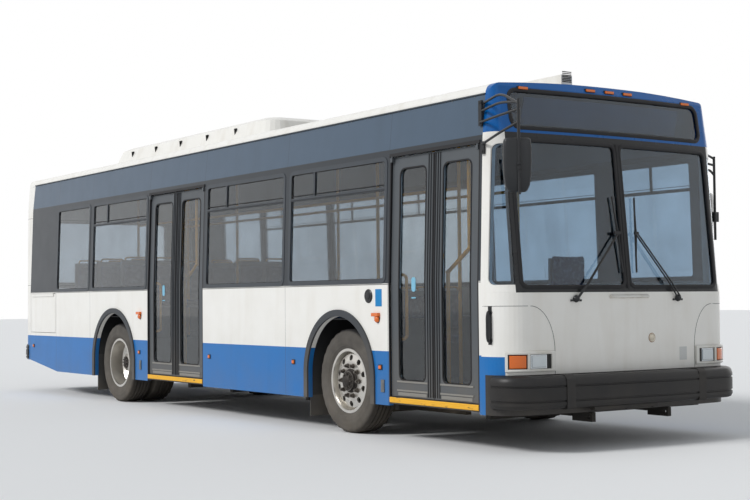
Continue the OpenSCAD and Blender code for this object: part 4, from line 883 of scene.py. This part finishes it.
# ---------------------------------------------------------------- Side, roof and rear lamps
# Amber marker lenses on black bases along the skirt, stepped turn lamps by the arches, roof
# markers over the sign, and three round lamps in a column at each rear corner.
red_lens = new_finish("red_lens", linear("#A3100C"), 0.2, coat=0.8, bump=0.05)
clear_lens = new_finish("clear_lens", linear("#D9DCDD"), 0.18, coat=0.8)
bases, glows = bmesh.new(), bmesh.new()
for s in (-1, 1):
    for d in (1.893, 3.390, 5.163, 6.964, 10.471):
        x, y = at(d), s * half
        add_box(bases, (x - 0.030, min(y, y + s * 0.006), 0.606), (x + 0.030, max(y, y + s * 0.006), 0.654))
        add_box(glows, (x - 0.020, min(y, y + s * 0.014), 0.615), (x + 0.020, max(y, y + s * 0.014), 0.645))
    for d in (1.942, 6.949):
        x, y = at(d), s * half
        add_box(glows, (x - 0.055, min(y, y + s * 0.030), 1.076), (x + 0.050, max(y, y + s * 0.030), 1.108))
        disc(glows, (x + 0.012, y - s * 0.001, 1.052), (0, s, 0),
            [(0.030, 0), (0.030, 0.018), (0.022, 0.026), (0.006, 0.029)], 20)
        disc(bases, (x + 0.012, y - s * 0.001, 1.052), (0, s, 0),
            [(0.035, 0), (0.035, 0.005), (0.031, 0.006)], 20)
for y, z in ((-0.929, 2.926), (-0.213, 2.956), (0, 2.956), (0.213, 2.956), (0.929, 2.926)):
    p = face_point(y, z)
    add_box(bases, (p.x - 0.004, y - 0.056, z - 0.019), (p.x + 0.009, y + 0.056, z + 0.013))
    add_box(glows, (p.x + 0.004, y - 0.047, z - 0.013), (p.x + 0.020, y + 0.047, z + 0.008))
tail_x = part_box("rear_wall")[0][0]
tail_marks, tail_mark_z = (-1.0, -0.2, 0.0, 0.2, 1.0), 2.79
for y in tail_marks:
    add_box(bases, (rear + 0.046, y - 0.05, tail_mark_z - 0.016),
        (rear + 0.052, y + 0.05, tail_mark_z + 0.016))
marker_lenses = fit_piece("marker_lenses", glows, amber, bevel=0.004)
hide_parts("lamps")
fit_piece("marker_bases", bases, black_satin, bevel=0.002)
reds, backs, clears, ambers = (bmesh.new() for _ in range(4))
dome = [(0.053, 0), (0.053, 0.008), (0.046, 0.015), (0.030, 0.019), (0.008, 0.020)]
for s in (-1, 1):
    for z, bm in ((1.07, ambers), (0.93, reds), (0.79, clears)):
        disc(bm, (tail_x - 0.0005, s * 1.03, z), (-1, 0, 0), dome)
        disc(backs, (tail_x + 0.001, s * 1.03, z), (-1, 0, 0), [(0.062, 0), (0.062, 0.006), (0.054, 0.008)])
for y in tail_marks:
    add_box(reds, (tail_x - 0.012, y - 0.042, tail_mark_z - 0.011),
        (tail_x - 0.001, y + 0.042, tail_mark_z + 0.011))
fit_piece("tail_reds", reds, red_lens, bevel=0.002)
fit_piece("tail_ambers", ambers, amber)
fit_piece("tail_clears", clears, clear_lens)
fit_piece("tail_rings", backs, rubber)

# ---------------------------------------------------------------- Right-side fittings
# A round dark filler cap and a blank blue plate ahead of the front arch, latch boxes at the
# foot of the door posts, small screws along the band, and a gutter under the roof edge.
plate_blue = new_finish("plate_blue", linear("#1780BE"), 0.45, streaks=0.3)
box_grey = new_finish("box_grey", linear("#6E7378"), 0.45, metallic=0.4, dust=0.4)
bm = bmesh.new()
lid = [(0.062, 0), (0.062, 0.006), (0.054, 0.011), (0.050, 0.008), (0.030, 0.009), (0.026, 0.015),
    (0.006, 0.016)]
disc(bm, (at(2.073), -half + 0.001, 1.257), (0, -1, 0), lid)
fit_piece("filler_cap", bm, black_satin)
bm = bmesh.new()
add_box(bm, (at(1.965), -half - 0.0022, 1.165), (at(1.865), -half + 0.001, 1.318))
fit_piece("blue_plate", bm, plate_blue, bevel=0.001)
bm = bmesh.new()
for d, z in ((1.856, 0.468), (6.928, 0.481)):
    add_box(bm, (at(d) - 0.025, -half - 0.010, z - 0.055), (at(d) + 0.025, -half + 0.001, z + 0.055))
    add_box(bm, (at(d) - 0.014, -half - 0.014, z - 0.035), (at(d) + 0.014, -half - 0.008, z + 0.025))
fit_piece("latch_boxes", bm, box_grey, bevel=0.003)
for label, s in (("right", -1), ("left", 1)):
    from_tree(f"band_screws_{label}", row, {
        "Count": 34, "Start": (at(0.60), s * (side_y(2.86) + 0.0006), 2.858), "Step": (-0.305, 0, 0),
        "Size": (0.010, 0.003, 0.010),
        "Turn": (0, 0.785, 0), "Finish": box_grey})
gutter = new_finish("gutter", linear("#3A4047"), 0.5)
bm = bmesh.new()
channel = [(-0.006, -0.001), (-0.006, 0.007), (0.004, 0.010), (0.007, 0.002), (0.007, -0.001)]
for s in (-1, 1):
    y = s * (side_y(GUTTER) + 0.001)
    ends = [Vector((x, y, 2.872)) for x in (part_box("roof")[0][0], -2.0, 2.0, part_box("roof")[1][0])]
    sweep(bm, ends, channel, (0, s, 0))
fit_piece("roof_gutters", bm, gutter)

# ---------------------------------------------------------------- Mirrors
# Cast plates bolted to the front corners carry bent black tubes; the heads are deep moulded
# shells clamped to an upright tube, with flat mirror glass facing the driver.
shell_black = new_finish("shell_black", linear("#26282B"), 0.38, streaks=0.4, coat=0.15)
silvered = new_finish("silvered", (0.85, 0.87, 0.88), 0.03, metallic=1.0, grain=0.0, bump=0.0)
arms, shells, glasses = bmesh.new(), bmesh.new(), bmesh.new()
nose_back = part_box("front_panel")[0][0]
mirror_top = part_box("mirrors")[1]
mirror_far = mirror_top[1]


# Rings of a shell: height, and its depth and width as shares of the full ones.
shell_rings = ((0.0, 0.50, 0.55), (0.012, 0.66, 0.70), (0.05, 0.82, 0.86), (0.12, 0.94, 0.96), (0.22, 1, 1),
    (0.34, 1, 1), (0.385, 0.96, 0.97), (0.403, 0.88, 0.92), (0.41, 0.74, 0.82))
around, squareness = 28, 0.42


def mirror_shell(centre, z, turn):
    """A head with two panes, its foot at height z, turned in degrees about the upright tube's line."""
    turned = Matrix.Rotation(math.radians(turn), 3, "Z")
    rings = []
    for up, deep, wide in shell_rings:
        ring = []
        for i in range(around):
            a = i * math.tau / around
            c, n = math.cos(a), math.sin(a)
            x = math.copysign(abs(c) ** squareness, c) * 0.045 * deep
            y = math.copysign(abs(n) ** squareness, n) * 0.108 * wide
            ring.append(shells.verts.new(Vector((centre[0], centre[1], z + up)) + turned @ Vector((x, y, 0))))
        rings.append(ring)
    for a, b in zip(rings, rings[1:]):
        for i in range(around):
            shells.faces.new((a[i], a[(i + 1) % around], b[(i + 1) % around], b[i]))
    shells.faces.new(list(reversed(rings[0])))
    shells.faces.new(rings[-1])
    for rise_0, rise_1 in ((0.045, 0.245), (0.26, 0.375)):
        before = len(glasses.verts)
        add_box(glasses, (-0.0475, -0.090, rise_0), (-0.043, 0.090, rise_1))
        glasses.verts.ensure_lookup_table()
        for v in glasses.verts[before:]:
            v.co = Vector((centre[0], centre[1], z)) + turned @ v.co


lead = mirror_top[0]
right_tube = Vector((lead - 0.014, -(mirror_far - 0.088), 0))
right_head = (right_tube.x - 0.045, right_tube.y + 0.020)
left_head = (nose_back - 0.068, mirror_far - 0.1162)
left_tube = Vector((left_head[0] + 0.045, left_head[1] + 0.055, 0))
mirror_shell(right_head, 2.030, -32)
mirror_shell(left_head, 1.760, 30)
# Plates: place, low and high edge. Runs of tube: place and height at the plate, height at the
# upright tube, and how far the knee rises.
aft_x, fore_x = nose_back - 0.018, nose_back + 0.022
right_plates = ((aft_x, 2.610, 2.815), (fore_x, 2.380, 2.480))
right_runs = ((aft_x, 2.64, 2.655, 0), (aft_x, 2.73, 2.71, 0.03), (nose_back, 2.79, 2.70, 0.08),
    (fore_x, 2.46, 2.56, 0))
left_plates = ((aft_x, 2.340, 2.560),)
left_runs = ((aft_x, 2.37, 2.33, 0.03), (aft_x, 2.44, 2.42, 0), (aft_x, 2.53, 2.48, 0))
for tube, s, plates, runs, top, low in (
        (right_tube, -1, right_plates, right_runs, 2.735, 2.010),
        (left_tube, 1, left_plates, left_runs, 2.500, 1.740)):
    for x, z0, z1 in plates:
        y = s * side_y(z0)
        add_box(arms, (x - 0.020, min(y, y + s * 0.020), z0), (x + 0.020, max(y, y + s * 0.020), z1))
        for z in (z0 + 0.02, z1 - 0.02):
            disc(arms, (x, y + s * 0.019, z), (0, s, 0), [(0.009, 0), (0.009, 0.005), (0.004, 0.006)], 6)
    for x, z0, z1, hump in runs:
        start = Vector((x, s * (side_y(z0) + 0.016), z0))
        knee = start.lerp(Vector((tube.x, tube.y, z1)), 0.55) + Vector((0, s * 0.012, hump))
        sweep(arms, rounded([start, knee, Vector((tube.x, tube.y, z1))], 0.12, 8), circle(0.0105),
            (0.2, 0.1, 1))
    sweep(arms, [Vector((tube.x, tube.y, z)) for z in (top, (top + low) / 2, low)], circle(0.012), (1, 0, 0))
    for z in (low + 0.20, low + 0.235):
        disc(arms, (tube.x, tube.y, z - 0.012), (0, 0, 1),
            [(0.014, 0), (0.018, 0.003), (0.018, 0.020), (0.014, 0.023)], 14)
    add_box(arms, (tube.x - 0.036, tube.y - 0.012, low + 0.165),
        (tube.x + 0.006, tube.y + 0.045, low + 0.255))
mirror_arms = fit_piece("mirror_arms", arms, black_satin)
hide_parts("mirrors")
fit_piece("mirror_shells", shells, shell_black, smooth=50)
fit_piece("mirror_glasses", glasses, silvered, bevel=0.001)

# ---------------------------------------------------------------- Wipers
# Twin-tube arms on cast pivots under the windshield, each with a long rubber blade that a
# sprung yoke presses on the glass.
bm = bmesh.new()
for s, y_tip, y_top, y_foot in ((-1, -0.084, -0.110, -0.055), (1, 0.124, 0.145, 0.100)):
    pivot = nose_point(s * 0.579, 1.217)
    disc(bm, pivot, nose_normal(s * 0.579),
        [(0.026, 0), (0.030, 0.010), (0.024, 0.026), (0.016, 0.034), (0.004, 0.036)], 24)
    add_box(bm, (pivot.x - 0.002, pivot.y - 0.055, 1.196), (pivot.x + 0.014, pivot.y + 0.055, 1.212))
    tip = face_point(y_tip, 1.76, 0.026)
    for d in (-0.014, 0.014):
        base = pivot + Vector((0.026, d, 0.004 + d * 0.5))
        bend = base.lerp(tip, 0.2) + Vector((0.016, 0, 0))
        sweep(bm, rounded([base, bend, tip + Vector((0, d * 0.6, d * 0.4))], 0.08, 5), circle(0.0065, 8),
            (1, 0, 0.1))
    add_box(bm, (tip.x - 0.010, min(tip.y, y_tip * 1.3) - 0.022, 1.748),
        (tip.x + 0.008, max(tip.y, y_tip) + 0.022, 1.772))
    blade = [face_point(y_foot + (y_top - y_foot) * i / 8, 1.43 + 0.63 * i / 8, 0.0) for i in range(9)]
    sweep(bm, blade, [(-0.003, 0.004), (-0.008, 0.014), (-0.004, 0.020), (0.004, 0.020), (0.008, 0.014),
        (0.003, 0.004)], (1, 0, 0.09))
    for i in (2, 6):
        sweep(bm, [blade[i] + Vector((0.018, 0, 0)), blade[4] + Vector((0.027, 0, 0))], circle(0.005, 8),
            (1, 0, 0.2))
wiper_set = fit_piece("wiper_set", bm, black_satin)
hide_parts("wipers")

# ---------------------------------------------------------------- Tyres
# Radial truck tyres: four ribs of tread with cut shoulder lugs, and sidewalls grey-brown with
# dust between moulded rings.
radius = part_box("front_tyre_right")[1][2] / 2
wheel_x = sum(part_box("front_tyre_right")[i][0] for i in (0, 1)) / 2
drive_x = sum(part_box("rear_tyres_right")[i][0] for i in (0, 1)) / 2
tyre_y = sum(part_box("front_tyre_left")[i][1] for i in (0, 1)) / 2
twin_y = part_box("rear_tyres_left")[0][1] + 0.1375
half_tyre = [(0.2868, 0.092), (0.2868, 0.103), (0.2985, 0.1035), (0.3005, 0.112), (0.312, 0.1195),
    (0.324, 0.1265), (0.3265, 0.1285),
    (0.331, 0.1285), (0.340, 0.1322), (0.362, 0.1362), (0.366, 0.1350), (0.3832, 0.1372), (0.402, 0.1368),
    (0.406, 0.1345), (0.4311, 0.1322),
    (0.446, 0.1275), (0.449, 0.1255), (0.458, 0.1222), (0.466, 0.1165), (0.4735, 0.1085), (0.4772, 0.0990),
    (0.4785, 0.0700), (0.4680, 0.0680),
    (0.4680, 0.0600), (0.4788, 0.0580), (0.479, 0.0260), (0.468, 0.0240), (0.468, 0.0160), (0.479, 0.0140)]


shoulder_r, shoulder_off, lug_cut = 0.456, 0.085, 0.007


def from_axle(tree, x, z, axle_x):
    """Distance of a point from a wheel's axis."""
    dx, dz = sum_of(tree, "SUBTRACT", x, axle_x), sum_of(tree, "SUBTRACT", z, radius)
    return sum_of(tree, "SQRT", sum_of(tree, "ADD", sum_of(tree, "MULTIPLY", dx, dx),
        sum_of(tree, "MULTIPLY", dz, dz)))


def tyre_finish(name, axle_x):
    def colours(tree, x, y, z, spot):
        out = from_axle(tree, x, z, axle_x)
        sidewall = ranged(tree, out, 0.452, 0.468, 1.0, 0.0)
        patch = sum_of(tree, "MULTIPLY", sidewall,
            ranged(tree, noise(tree, spot, 7.0, 6.0), 0.25, 0.75, 0.45, 0.95))
        return mix_colour(tree, patch, (0.014, 0.014, 0.015), linear("#625E59"))
    return new_finish(name, (0.02, 0.02, 0.02), 0.82, grain=1.0, bump=0.35, dust=0.25, painted=colours)


full_tyre = half_tyre + [(r, -off) for r, off in reversed(half_tyre)]


def turned_tyre(name, places, material, body, count=120):
    """Tyres turned about each place; every second pair of steps is cut back at the shoulders."""
    bm = bmesh.new()
    for x, y in places:
        rings = []
        for i in range(count):
            a = i * math.tau / count
            ring = []
            for r, off in full_tyre:
                if r > shoulder_r and abs(off) > shoulder_off and i % 4 < 2:
                    r -= lug_cut
                ring.append(bm.verts.new((x + r * math.cos(a), y + off, radius + r * math.sin(a))))
            rings.append(ring)
        for i in range(count):
            a, b = rings[i], rings[(i + 1) % count]
            for k in range(len(full_tyre)):
                n = (k + 1) % len(full_tyre)
                bm.faces.new((a[k], a[n], b[n], b[k]))
    return fit_piece(name, bm, material, body)


front_rubber, rear_rubber = tyre_finish("front_tyre_rubber", wheel_x), tyre_finish("rear_tyre_rubber",
    drive_x)
for side, s in (("right", -1), ("left", 1)):
    tyre = turned_tyre(f"front_tread_{side}", [(wheel_x, s * tyre_y)], front_rubber, f"front_wheel_{side}")
    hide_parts(f"front_tyre_{side}")
    twins = [(drive_x, s * tyre_y), (drive_x, s * twin_y)]
    tyre = turned_tyre(f"rear_treads_{side}", twins, rear_rubber, f"rear_wheels_{side}")
    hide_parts(f"rear_tyres_{side}")

# ---------------------------------------------------------------- Rims, nuts and hubs
# Polished aluminium discs, dull with brake dust and darkened by painted shade in the recess towards the hub;
# flange nuts on studs in a ring, and a greasy cast hub in the middle.
def brake_dust_and_shade(axle_x):
    def colours(tree, x, y, z, spot):
        out = from_axle(tree, x, z, axle_x)
        # Darker towards the hub: real brake dust, and painted shade in the rim's recess.
        near_hub = ranged(tree, out, 0.11, 0.20, 0.6, 0.12)
        grime_and_shade = sum_of(tree, "MULTIPLY", near_hub,
            ranged(tree, noise(tree, spot, 13.0, 7.0), 0.35, 0.7, 0.3, 1.2))
        return mix_colour(tree, grime_and_shade, linear("#D6D3CD"), linear("#5A4F45"))
    return colours


for label, axle_x in (("front", wheel_x), ("rear", drive_x)):
    metal = new_finish(f"{label}_rim_metal", WHITE, 0.30, metallic=0.85, grain=0.3, bump=0.1,
        painted=brake_dust_and_shade(axle_x))
    for side in ("right", "left"):
        repaint(f"front_rim_{side}" if label == "front" else f"rear_rims_{side}", metal)


def ring_of_nuts():
    """Nuts on studs round a wheel: a six-sided nut, its washer and the stud's end at each place."""
    tree, given, out = new_tree("nut_ring", (("Count", "Int"), ("Circle", "Float"), ("Nut", "Float"),
        ("Centre", "Vector"), ("Turn", "Vector"), ("Finish", "Material")))
    ring, gather = node_of(tree, "GeometryNodeMeshCircle"), node_of(tree, "GeometryNodeJoinGeometry")
    join(tree, given.outputs["Count"], ring.inputs["Vertices"])
    join(tree, given.outputs["Circle"], ring.inputs["Radius"])
    for sides, wide, tall, up in ((6, 1.0, 1.5, 0.75), (16, 1.25, 0.35, 0.17), (10, 0.62, 1.2, 1.7)):
        part, shift = node_of(tree, "GeometryNodeMeshCylinder"), node_of(tree, "GeometryNodeTransform")
        part.inputs["Vertices"].default_value = sides
        join(tree, sum_of(tree, "MULTIPLY", given.outputs["Nut"], wide), part.inputs["Radius"])
        join(tree, sum_of(tree, "MULTIPLY", given.outputs["Nut"], tall), part.inputs["Depth"])
        lift = node_of(tree, "ShaderNodeCombineXYZ")
        join(tree, sum_of(tree, "MULTIPLY", given.outputs["Nut"], up), lift.inputs["Z"])
        join(tree, part.outputs["Mesh"], shift.inputs["Geometry"])
        join(tree, lift.outputs[0], shift.inputs["Translation"])
        join(tree, shift.outputs[0], gather.inputs[0])
    place, real, seat, dress = (node_of(tree, k)
        for k in ("GeometryNodeInstanceOnPoints", "GeometryNodeRealizeInstances", "GeometryNodeTransform",
        "GeometryNodeSetMaterial"))
    join(tree, ring.outputs[0], place.inputs["Points"])
    join(tree, gather.outputs[0], place.inputs["Instance"])
    join(tree, place.outputs[0], real.inputs[0])
    join(tree, real.outputs[0], seat.inputs["Geometry"])
    join(tree, given.outputs["Centre"], seat.inputs["Translation"])
    join(tree, given.outputs["Turn"], seat.inputs["Rotation"])
    join(tree, seat.outputs[0], dress.inputs[0])
    join(tree, given.outputs["Finish"], dress.inputs["Material"])
    join(tree, dress.outputs[0], out.inputs[0])
    return tree


nuts = ring_of_nuts()
nut_steel = new_finish("nut_steel", linear("#6B6661"), 0.4, metallic=0.8, grain=0.5)
hub_grease = new_finish("hub_grease", linear("#3A3633"), 0.55, metallic=0.4, grain=1.0, bump=0.5, streaks=0.3)
# Rings of nuts: name, count, circle, size, axle, how far out from the outer tyre's middle, body.
nut_rings = (("front_nuts", 10, 0.1425, 0.0185, wheel_x, 0.0878, "front_wheel"),
    ("rear_nuts", 10, 0.1425, 0.0185, drive_x, -0.1337, "rear_wheels"),
    ("hub_nuts", 8, 0.066, 0.0085, wheel_x, 0.1235, "front_wheel"),
    ("axle_bolts", 10, 0.060, 0.009, drive_x, 0.0275, "rear_wheels"))
hub_cap = [(0.088, 0), (0.088, 0.004), (0.056, 0.006), (0.052, 0.016), (0.040, 0.026), (0.018, 0.029),
    (0.014, 0.034), (0.004, 0.035)]
hub_drum = [(0.112, 0), (0.110, 0.008), (0.100, 0.012), (0.095, 0.030), (0.090, 0.034)]
axle_flange = [(0.074, 0), (0.074, 0.005), (0.042, 0.007), (0.038, 0.018), (0.024, 0.022), (0.004, 0.023)]
for side, s in (("right", -1), ("left", 1)):
    spin = (math.radians(90) * -s, 0, 0)
    for title, count, circle_r, nut, axle_x, out, wheel in nut_rings:
        from_tree(f"{title}_{side}", nuts, {
            "Count": count, "Circle": circle_r, "Nut": nut, "Centre": (axle_x, s * (tyre_y + out), radius),
            "Turn": spin, "Finish": nut_steel}, f"{wheel}_{side}")
    bm = bmesh.new()
    disc(bm, (wheel_x, s * (tyre_y + 0.1205), radius), (0, s, 0), hub_cap, 36)
    disc(bm, (wheel_x, s * (tyre_y + 0.087), radius), (0, s, 0), hub_drum, 36)
    fit_piece(f"front_hub_{side}", bm, hub_grease, f"front_wheel_{side}")
    bm = bmesh.new()
    disc(bm, (drive_x, s * (tyre_y + 0.0245), radius), (0, s, 0), axle_flange, 36)
    fit_piece(f"rear_hub_{side}", bm, hub_grease, f"rear_wheels_{side}")

# ---------------------------------------------------------------- Running gear and underside
# Black-painted steel rails and wheel boxes, cast axles and knuckles furred with road dirt,
# and dull rubber arch trims and flaps.
road_dirt = new_finish("road_dirt", linear("#4B453E"), 0.85, grain=1.2, bump=0.5, dust=0.7)
frame_black = new_finish("frame_black", linear("#1B1B1B"), 0.75, grain=0.8, dust=0.12)
floor_sheet = new_finish("floor_sheet", linear("#3A3B3D"), 0.7, grain=1.0, bump=0.3, dust=0.2)
trim_grey = new_finish("trim_grey", linear("#3C3F43"), 0.48, dust=0.5, grain=0.6)
for node in ("knuckle_right", "knuckle_left", "front_axle", "rear_axle", "engine_block"):
    repaint(node, road_dirt)
repaint("chassis_frame", frame_black)
repaint("floor", floor_sheet)
repaint("wheel_guards", trim_grey)

# ---------------------------------------------------------------- Cabin
# Grey moulded seat shells with stuffed pads in dark blue cloth, yellow grab rails, and a long
# moulded dashboard with a wheel for the driver.
shell_grey = new_finish("shell_grey", linear("#70757B"), 0.5, grain=0.6)
dash_grey = new_finish("dash_grey", linear("#5F6064"), 0.6, grain=1.2, bump=0.3)
repaint("seat_frames", shell_grey)
repaint("handrails", bar_yellow)
repaint("dashboard", dash_grey)


def woven(tree, x, y, z, spot):
    weave = node_of(tree, "ShaderNodeTexVoronoi")
    weave.inputs["Scale"].default_value = 260.0
    join(tree, spot, weave.inputs["Vector"])
    flecks = ranged(tree, noise(tree, spot, 30.0, 3.0), 0.52, 0.6)
    threads = mix_colour(tree, weave.outputs["Distance"], linear("#1D2C49"), linear("#31456B"))
    return mix_colour(tree, sum_of(tree, "MULTIPLY", flecks, 0.45), threads, linear("#7383A0"))


seat_cloth = new_finish("seat_cloth", linear("#25365A"), 0.9, grain=1.5, bump=0.4, painted=woven)


def stuffed(size, swell, cap):
    """A foam pad under cloth, blown up from a smaller block and held within the size of its pan."""
    bm = bmesh.new()
    add_box(bm, [-c / 2 + swell for c in size], [c / 2 - swell for c in size])
    bmesh.ops.bevel(bm, geom=bm.edges[:], offset=min(size) * 0.22, segments=3, affect="EDGES")
    mesh = bpy.data.meshes.new("pad_form")
    bm.to_mesh(mesh)
    bm.free()
    pad = bpy.data.objects.new("pad_form", mesh)
    bpy.context.scene.collection.objects.link(pad)
    remesh = pad.modifiers.new("remesh", "REMESH")
    remesh.mode, remesh.voxel_size = "VOXEL", 0.013
    graph = bpy.context.evaluated_depsgraph_get()
    pad.data = bpy.data.meshes.new_from_object(pad.evaluated_get(graph))
    pad.modifiers.clear()
    start = [v.co.copy() for v in pad.data.vertices]
    cloth = pad.modifiers.new("cloth", "CLOTH")
    cloth.settings.use_pressure, cloth.settings.uniform_pressure_force = True, 4.0
    cloth.settings.effector_weights.gravity = 0
    for step in range(1, 21):
        bpy.context.scene.frame_set(step)
    graph = bpy.context.evaluated_depsgraph_get()
    blown = bpy.data.meshes.new_from_object(pad.evaluated_get(graph))
    moved = [v.co.copy() for v in blown.vertices]
    pad.modifiers.clear()
    bpy.context.scene.frame_set(1)
    result = []
    for a, b in zip(start, moved):
        shift = b - a
        p = a + shift * min(1.0, cap / max(shift.length, 1e-6))
        result.append(Vector((max(-size[i] / 2, min(size[i] / 2, p[i])) for i in range(3))))
    faces = [tuple(f.vertices) for f in pad.data.polygons]
    bpy.data.objects.remove(pad)
    return result, faces


pad_wide, pair_wide, seat_step = 0.395, 0.830, 0.415
cushion = stuffed((0.385, pad_wide, 0.070), 0.009, 0.012)
backrest = stuffed((0.0495, pad_wide, 0.390), 0.008, 0.011)
# Double seats: height of the floor, places behind the front bumper, and sides.
low_floor, high_floor = 0.380, 0.800
seat_rows = ((low_floor, (3.90, 4.65, 5.40, 6.15), (1,)), (low_floor, (3.90, 4.65), (-1,)),
    (high_floor, (7.64, 8.39, 9.13), (1, -1)))
doubles = [(d, s, z) for z, ds, ss in seat_rows for d in ds for s in ss]


def place_pads(name, form, places, stretch=(1, 1, 1)):
    """One piece with a copy of a stuffed pad at each place."""
    verts, faces = [], []
    for p in places:
        first = len(verts)
        verts += [Vector((v[0] * stretch[0], v[1] * stretch[1], v[2] * stretch[2])) + Vector(p)
            for v in form[0]]
        faces += [tuple(first + i for i in f) for f in form[1]]
    mesh = bpy.data.meshes.new(name)
    mesh.from_pydata(verts, [], faces)
    mesh.materials.append(seat_cloth)
    for face in mesh.polygons:
        face.use_smooth = True
    piece = bpy.data.objects.new(name, mesh)
    bpy.context.scene.collection.objects.link(piece)
    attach(piece, "body")
    return piece


wall_thick, wall_gap = 0.045, 0.045
first_y = half - wall_thick - wall_gap - pair_wide + 0.010 + pad_wide / 2
spots = [(at(d), s * (first_y + k * seat_step), z) for d, s, z in doubles for k in (0, 1)]
cushions = place_pads("seat_cushions", cushion, [(x + 0.2225, y, z + 0.415) for x, y, z in spots])
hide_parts("seat_pads")
place_pads("seat_backs", backrest, [(x - 0.005, y, z + 0.705) for x, y, z in spots])
place_pads("driver_cushion", cushion, [(at(1.415), 0.71, 0.980)], (1.2, 1.15, 1.4))
place_pads("driver_back", backrest, [(at(1.66), 0.71, 1.345)], (1.5, 1.1, 1.55))
bm = bmesh.new()
for x, y, z in spots:
    grip = [(x - 0.045, y + across, z + up) for across,
        up in ((-0.15, 0.90), (-0.15, 0.975), (0.15, 0.975), (0.15, 0.90))]
    sweep(bm, rounded(grip, 0.035, 4), circle(0.011, 8), (1, 0, 0.05))
fit_piece("seat_grips", bm, bar_yellow)
bm = bmesh.new()
for y in (-0.9, -0.55):
    add_box(bm, (nose_x - 0.30, y - 0.10, 1.20), (nose_x - 0.27, y + 0.10, 1.26))
for y in (0.45, 0.98):
    add_box(bm, (at(0.80), y - 0.06, 1.235), (at(0.74), y + 0.06, 1.30))
fit_piece("dash_parts", bm, black_satin, bevel=0.01)

# ---------------------------------------------------------------- Rear end
# Louvred engine door hung from its top edge, rubber round the rear window, two low hand
# grips, and an air grille in slats over the window.
rear_trim = new_finish("rear_trim", linear("#23262A"), 0.55, dust=0.5)
for i, z in enumerate((0.894, 0.984, 1.074, 1.164, 1.254)):
    from_tree(f"engine_slats_{i}", row,
        {"Count": 2, "Start": (tail_x + 0.010, 0.0, z - 0.010), "Step": (0, 0, 0.020),
        "Size": (0.016, 1.19, 0.003),
        "Turn": (0, 0.6, 0), "Finish": rear_trim}, "engine_door")
bm = bmesh.new()
loop = [Vector((tail_x - 0.0005, y, z)) for y, z in ring_path(-0.90, 0.90, 1.50, 2.38, 0.07)]
tail_seal = [(-0.018, -0.004), (-0.018, 0.004), (-0.010, 0.010), (0.006, 0.010), (0.014, 0.003),
    (0.014, -0.008)]
sweep(bm, loop, tail_seal, (-1, 0, 0), closed=True)
for y in (-0.55, 0.55):
    grip = [(tail_x - back, y + across, 0.80) for back,
        across in ((0.001, -0.06), (0.030, -0.06), (0.030, 0.06), (0.001, 0.06))]
    sweep(bm, rounded(grip, 0.012, 3), circle(0.007, 8), (0, 0.1, 1))
fit_piece("rear_rubbers", bm, rubber)
from_tree("rear_grille", row, {"Count": 14, "Start": (tail_x - 0.004, 0.0, 2.46), "Step": (0, 0, 0.022),
    "Size": (0.012, 1.10, 0.010),
    "Turn": (0, 0.5, 0), "Finish": rear_trim})
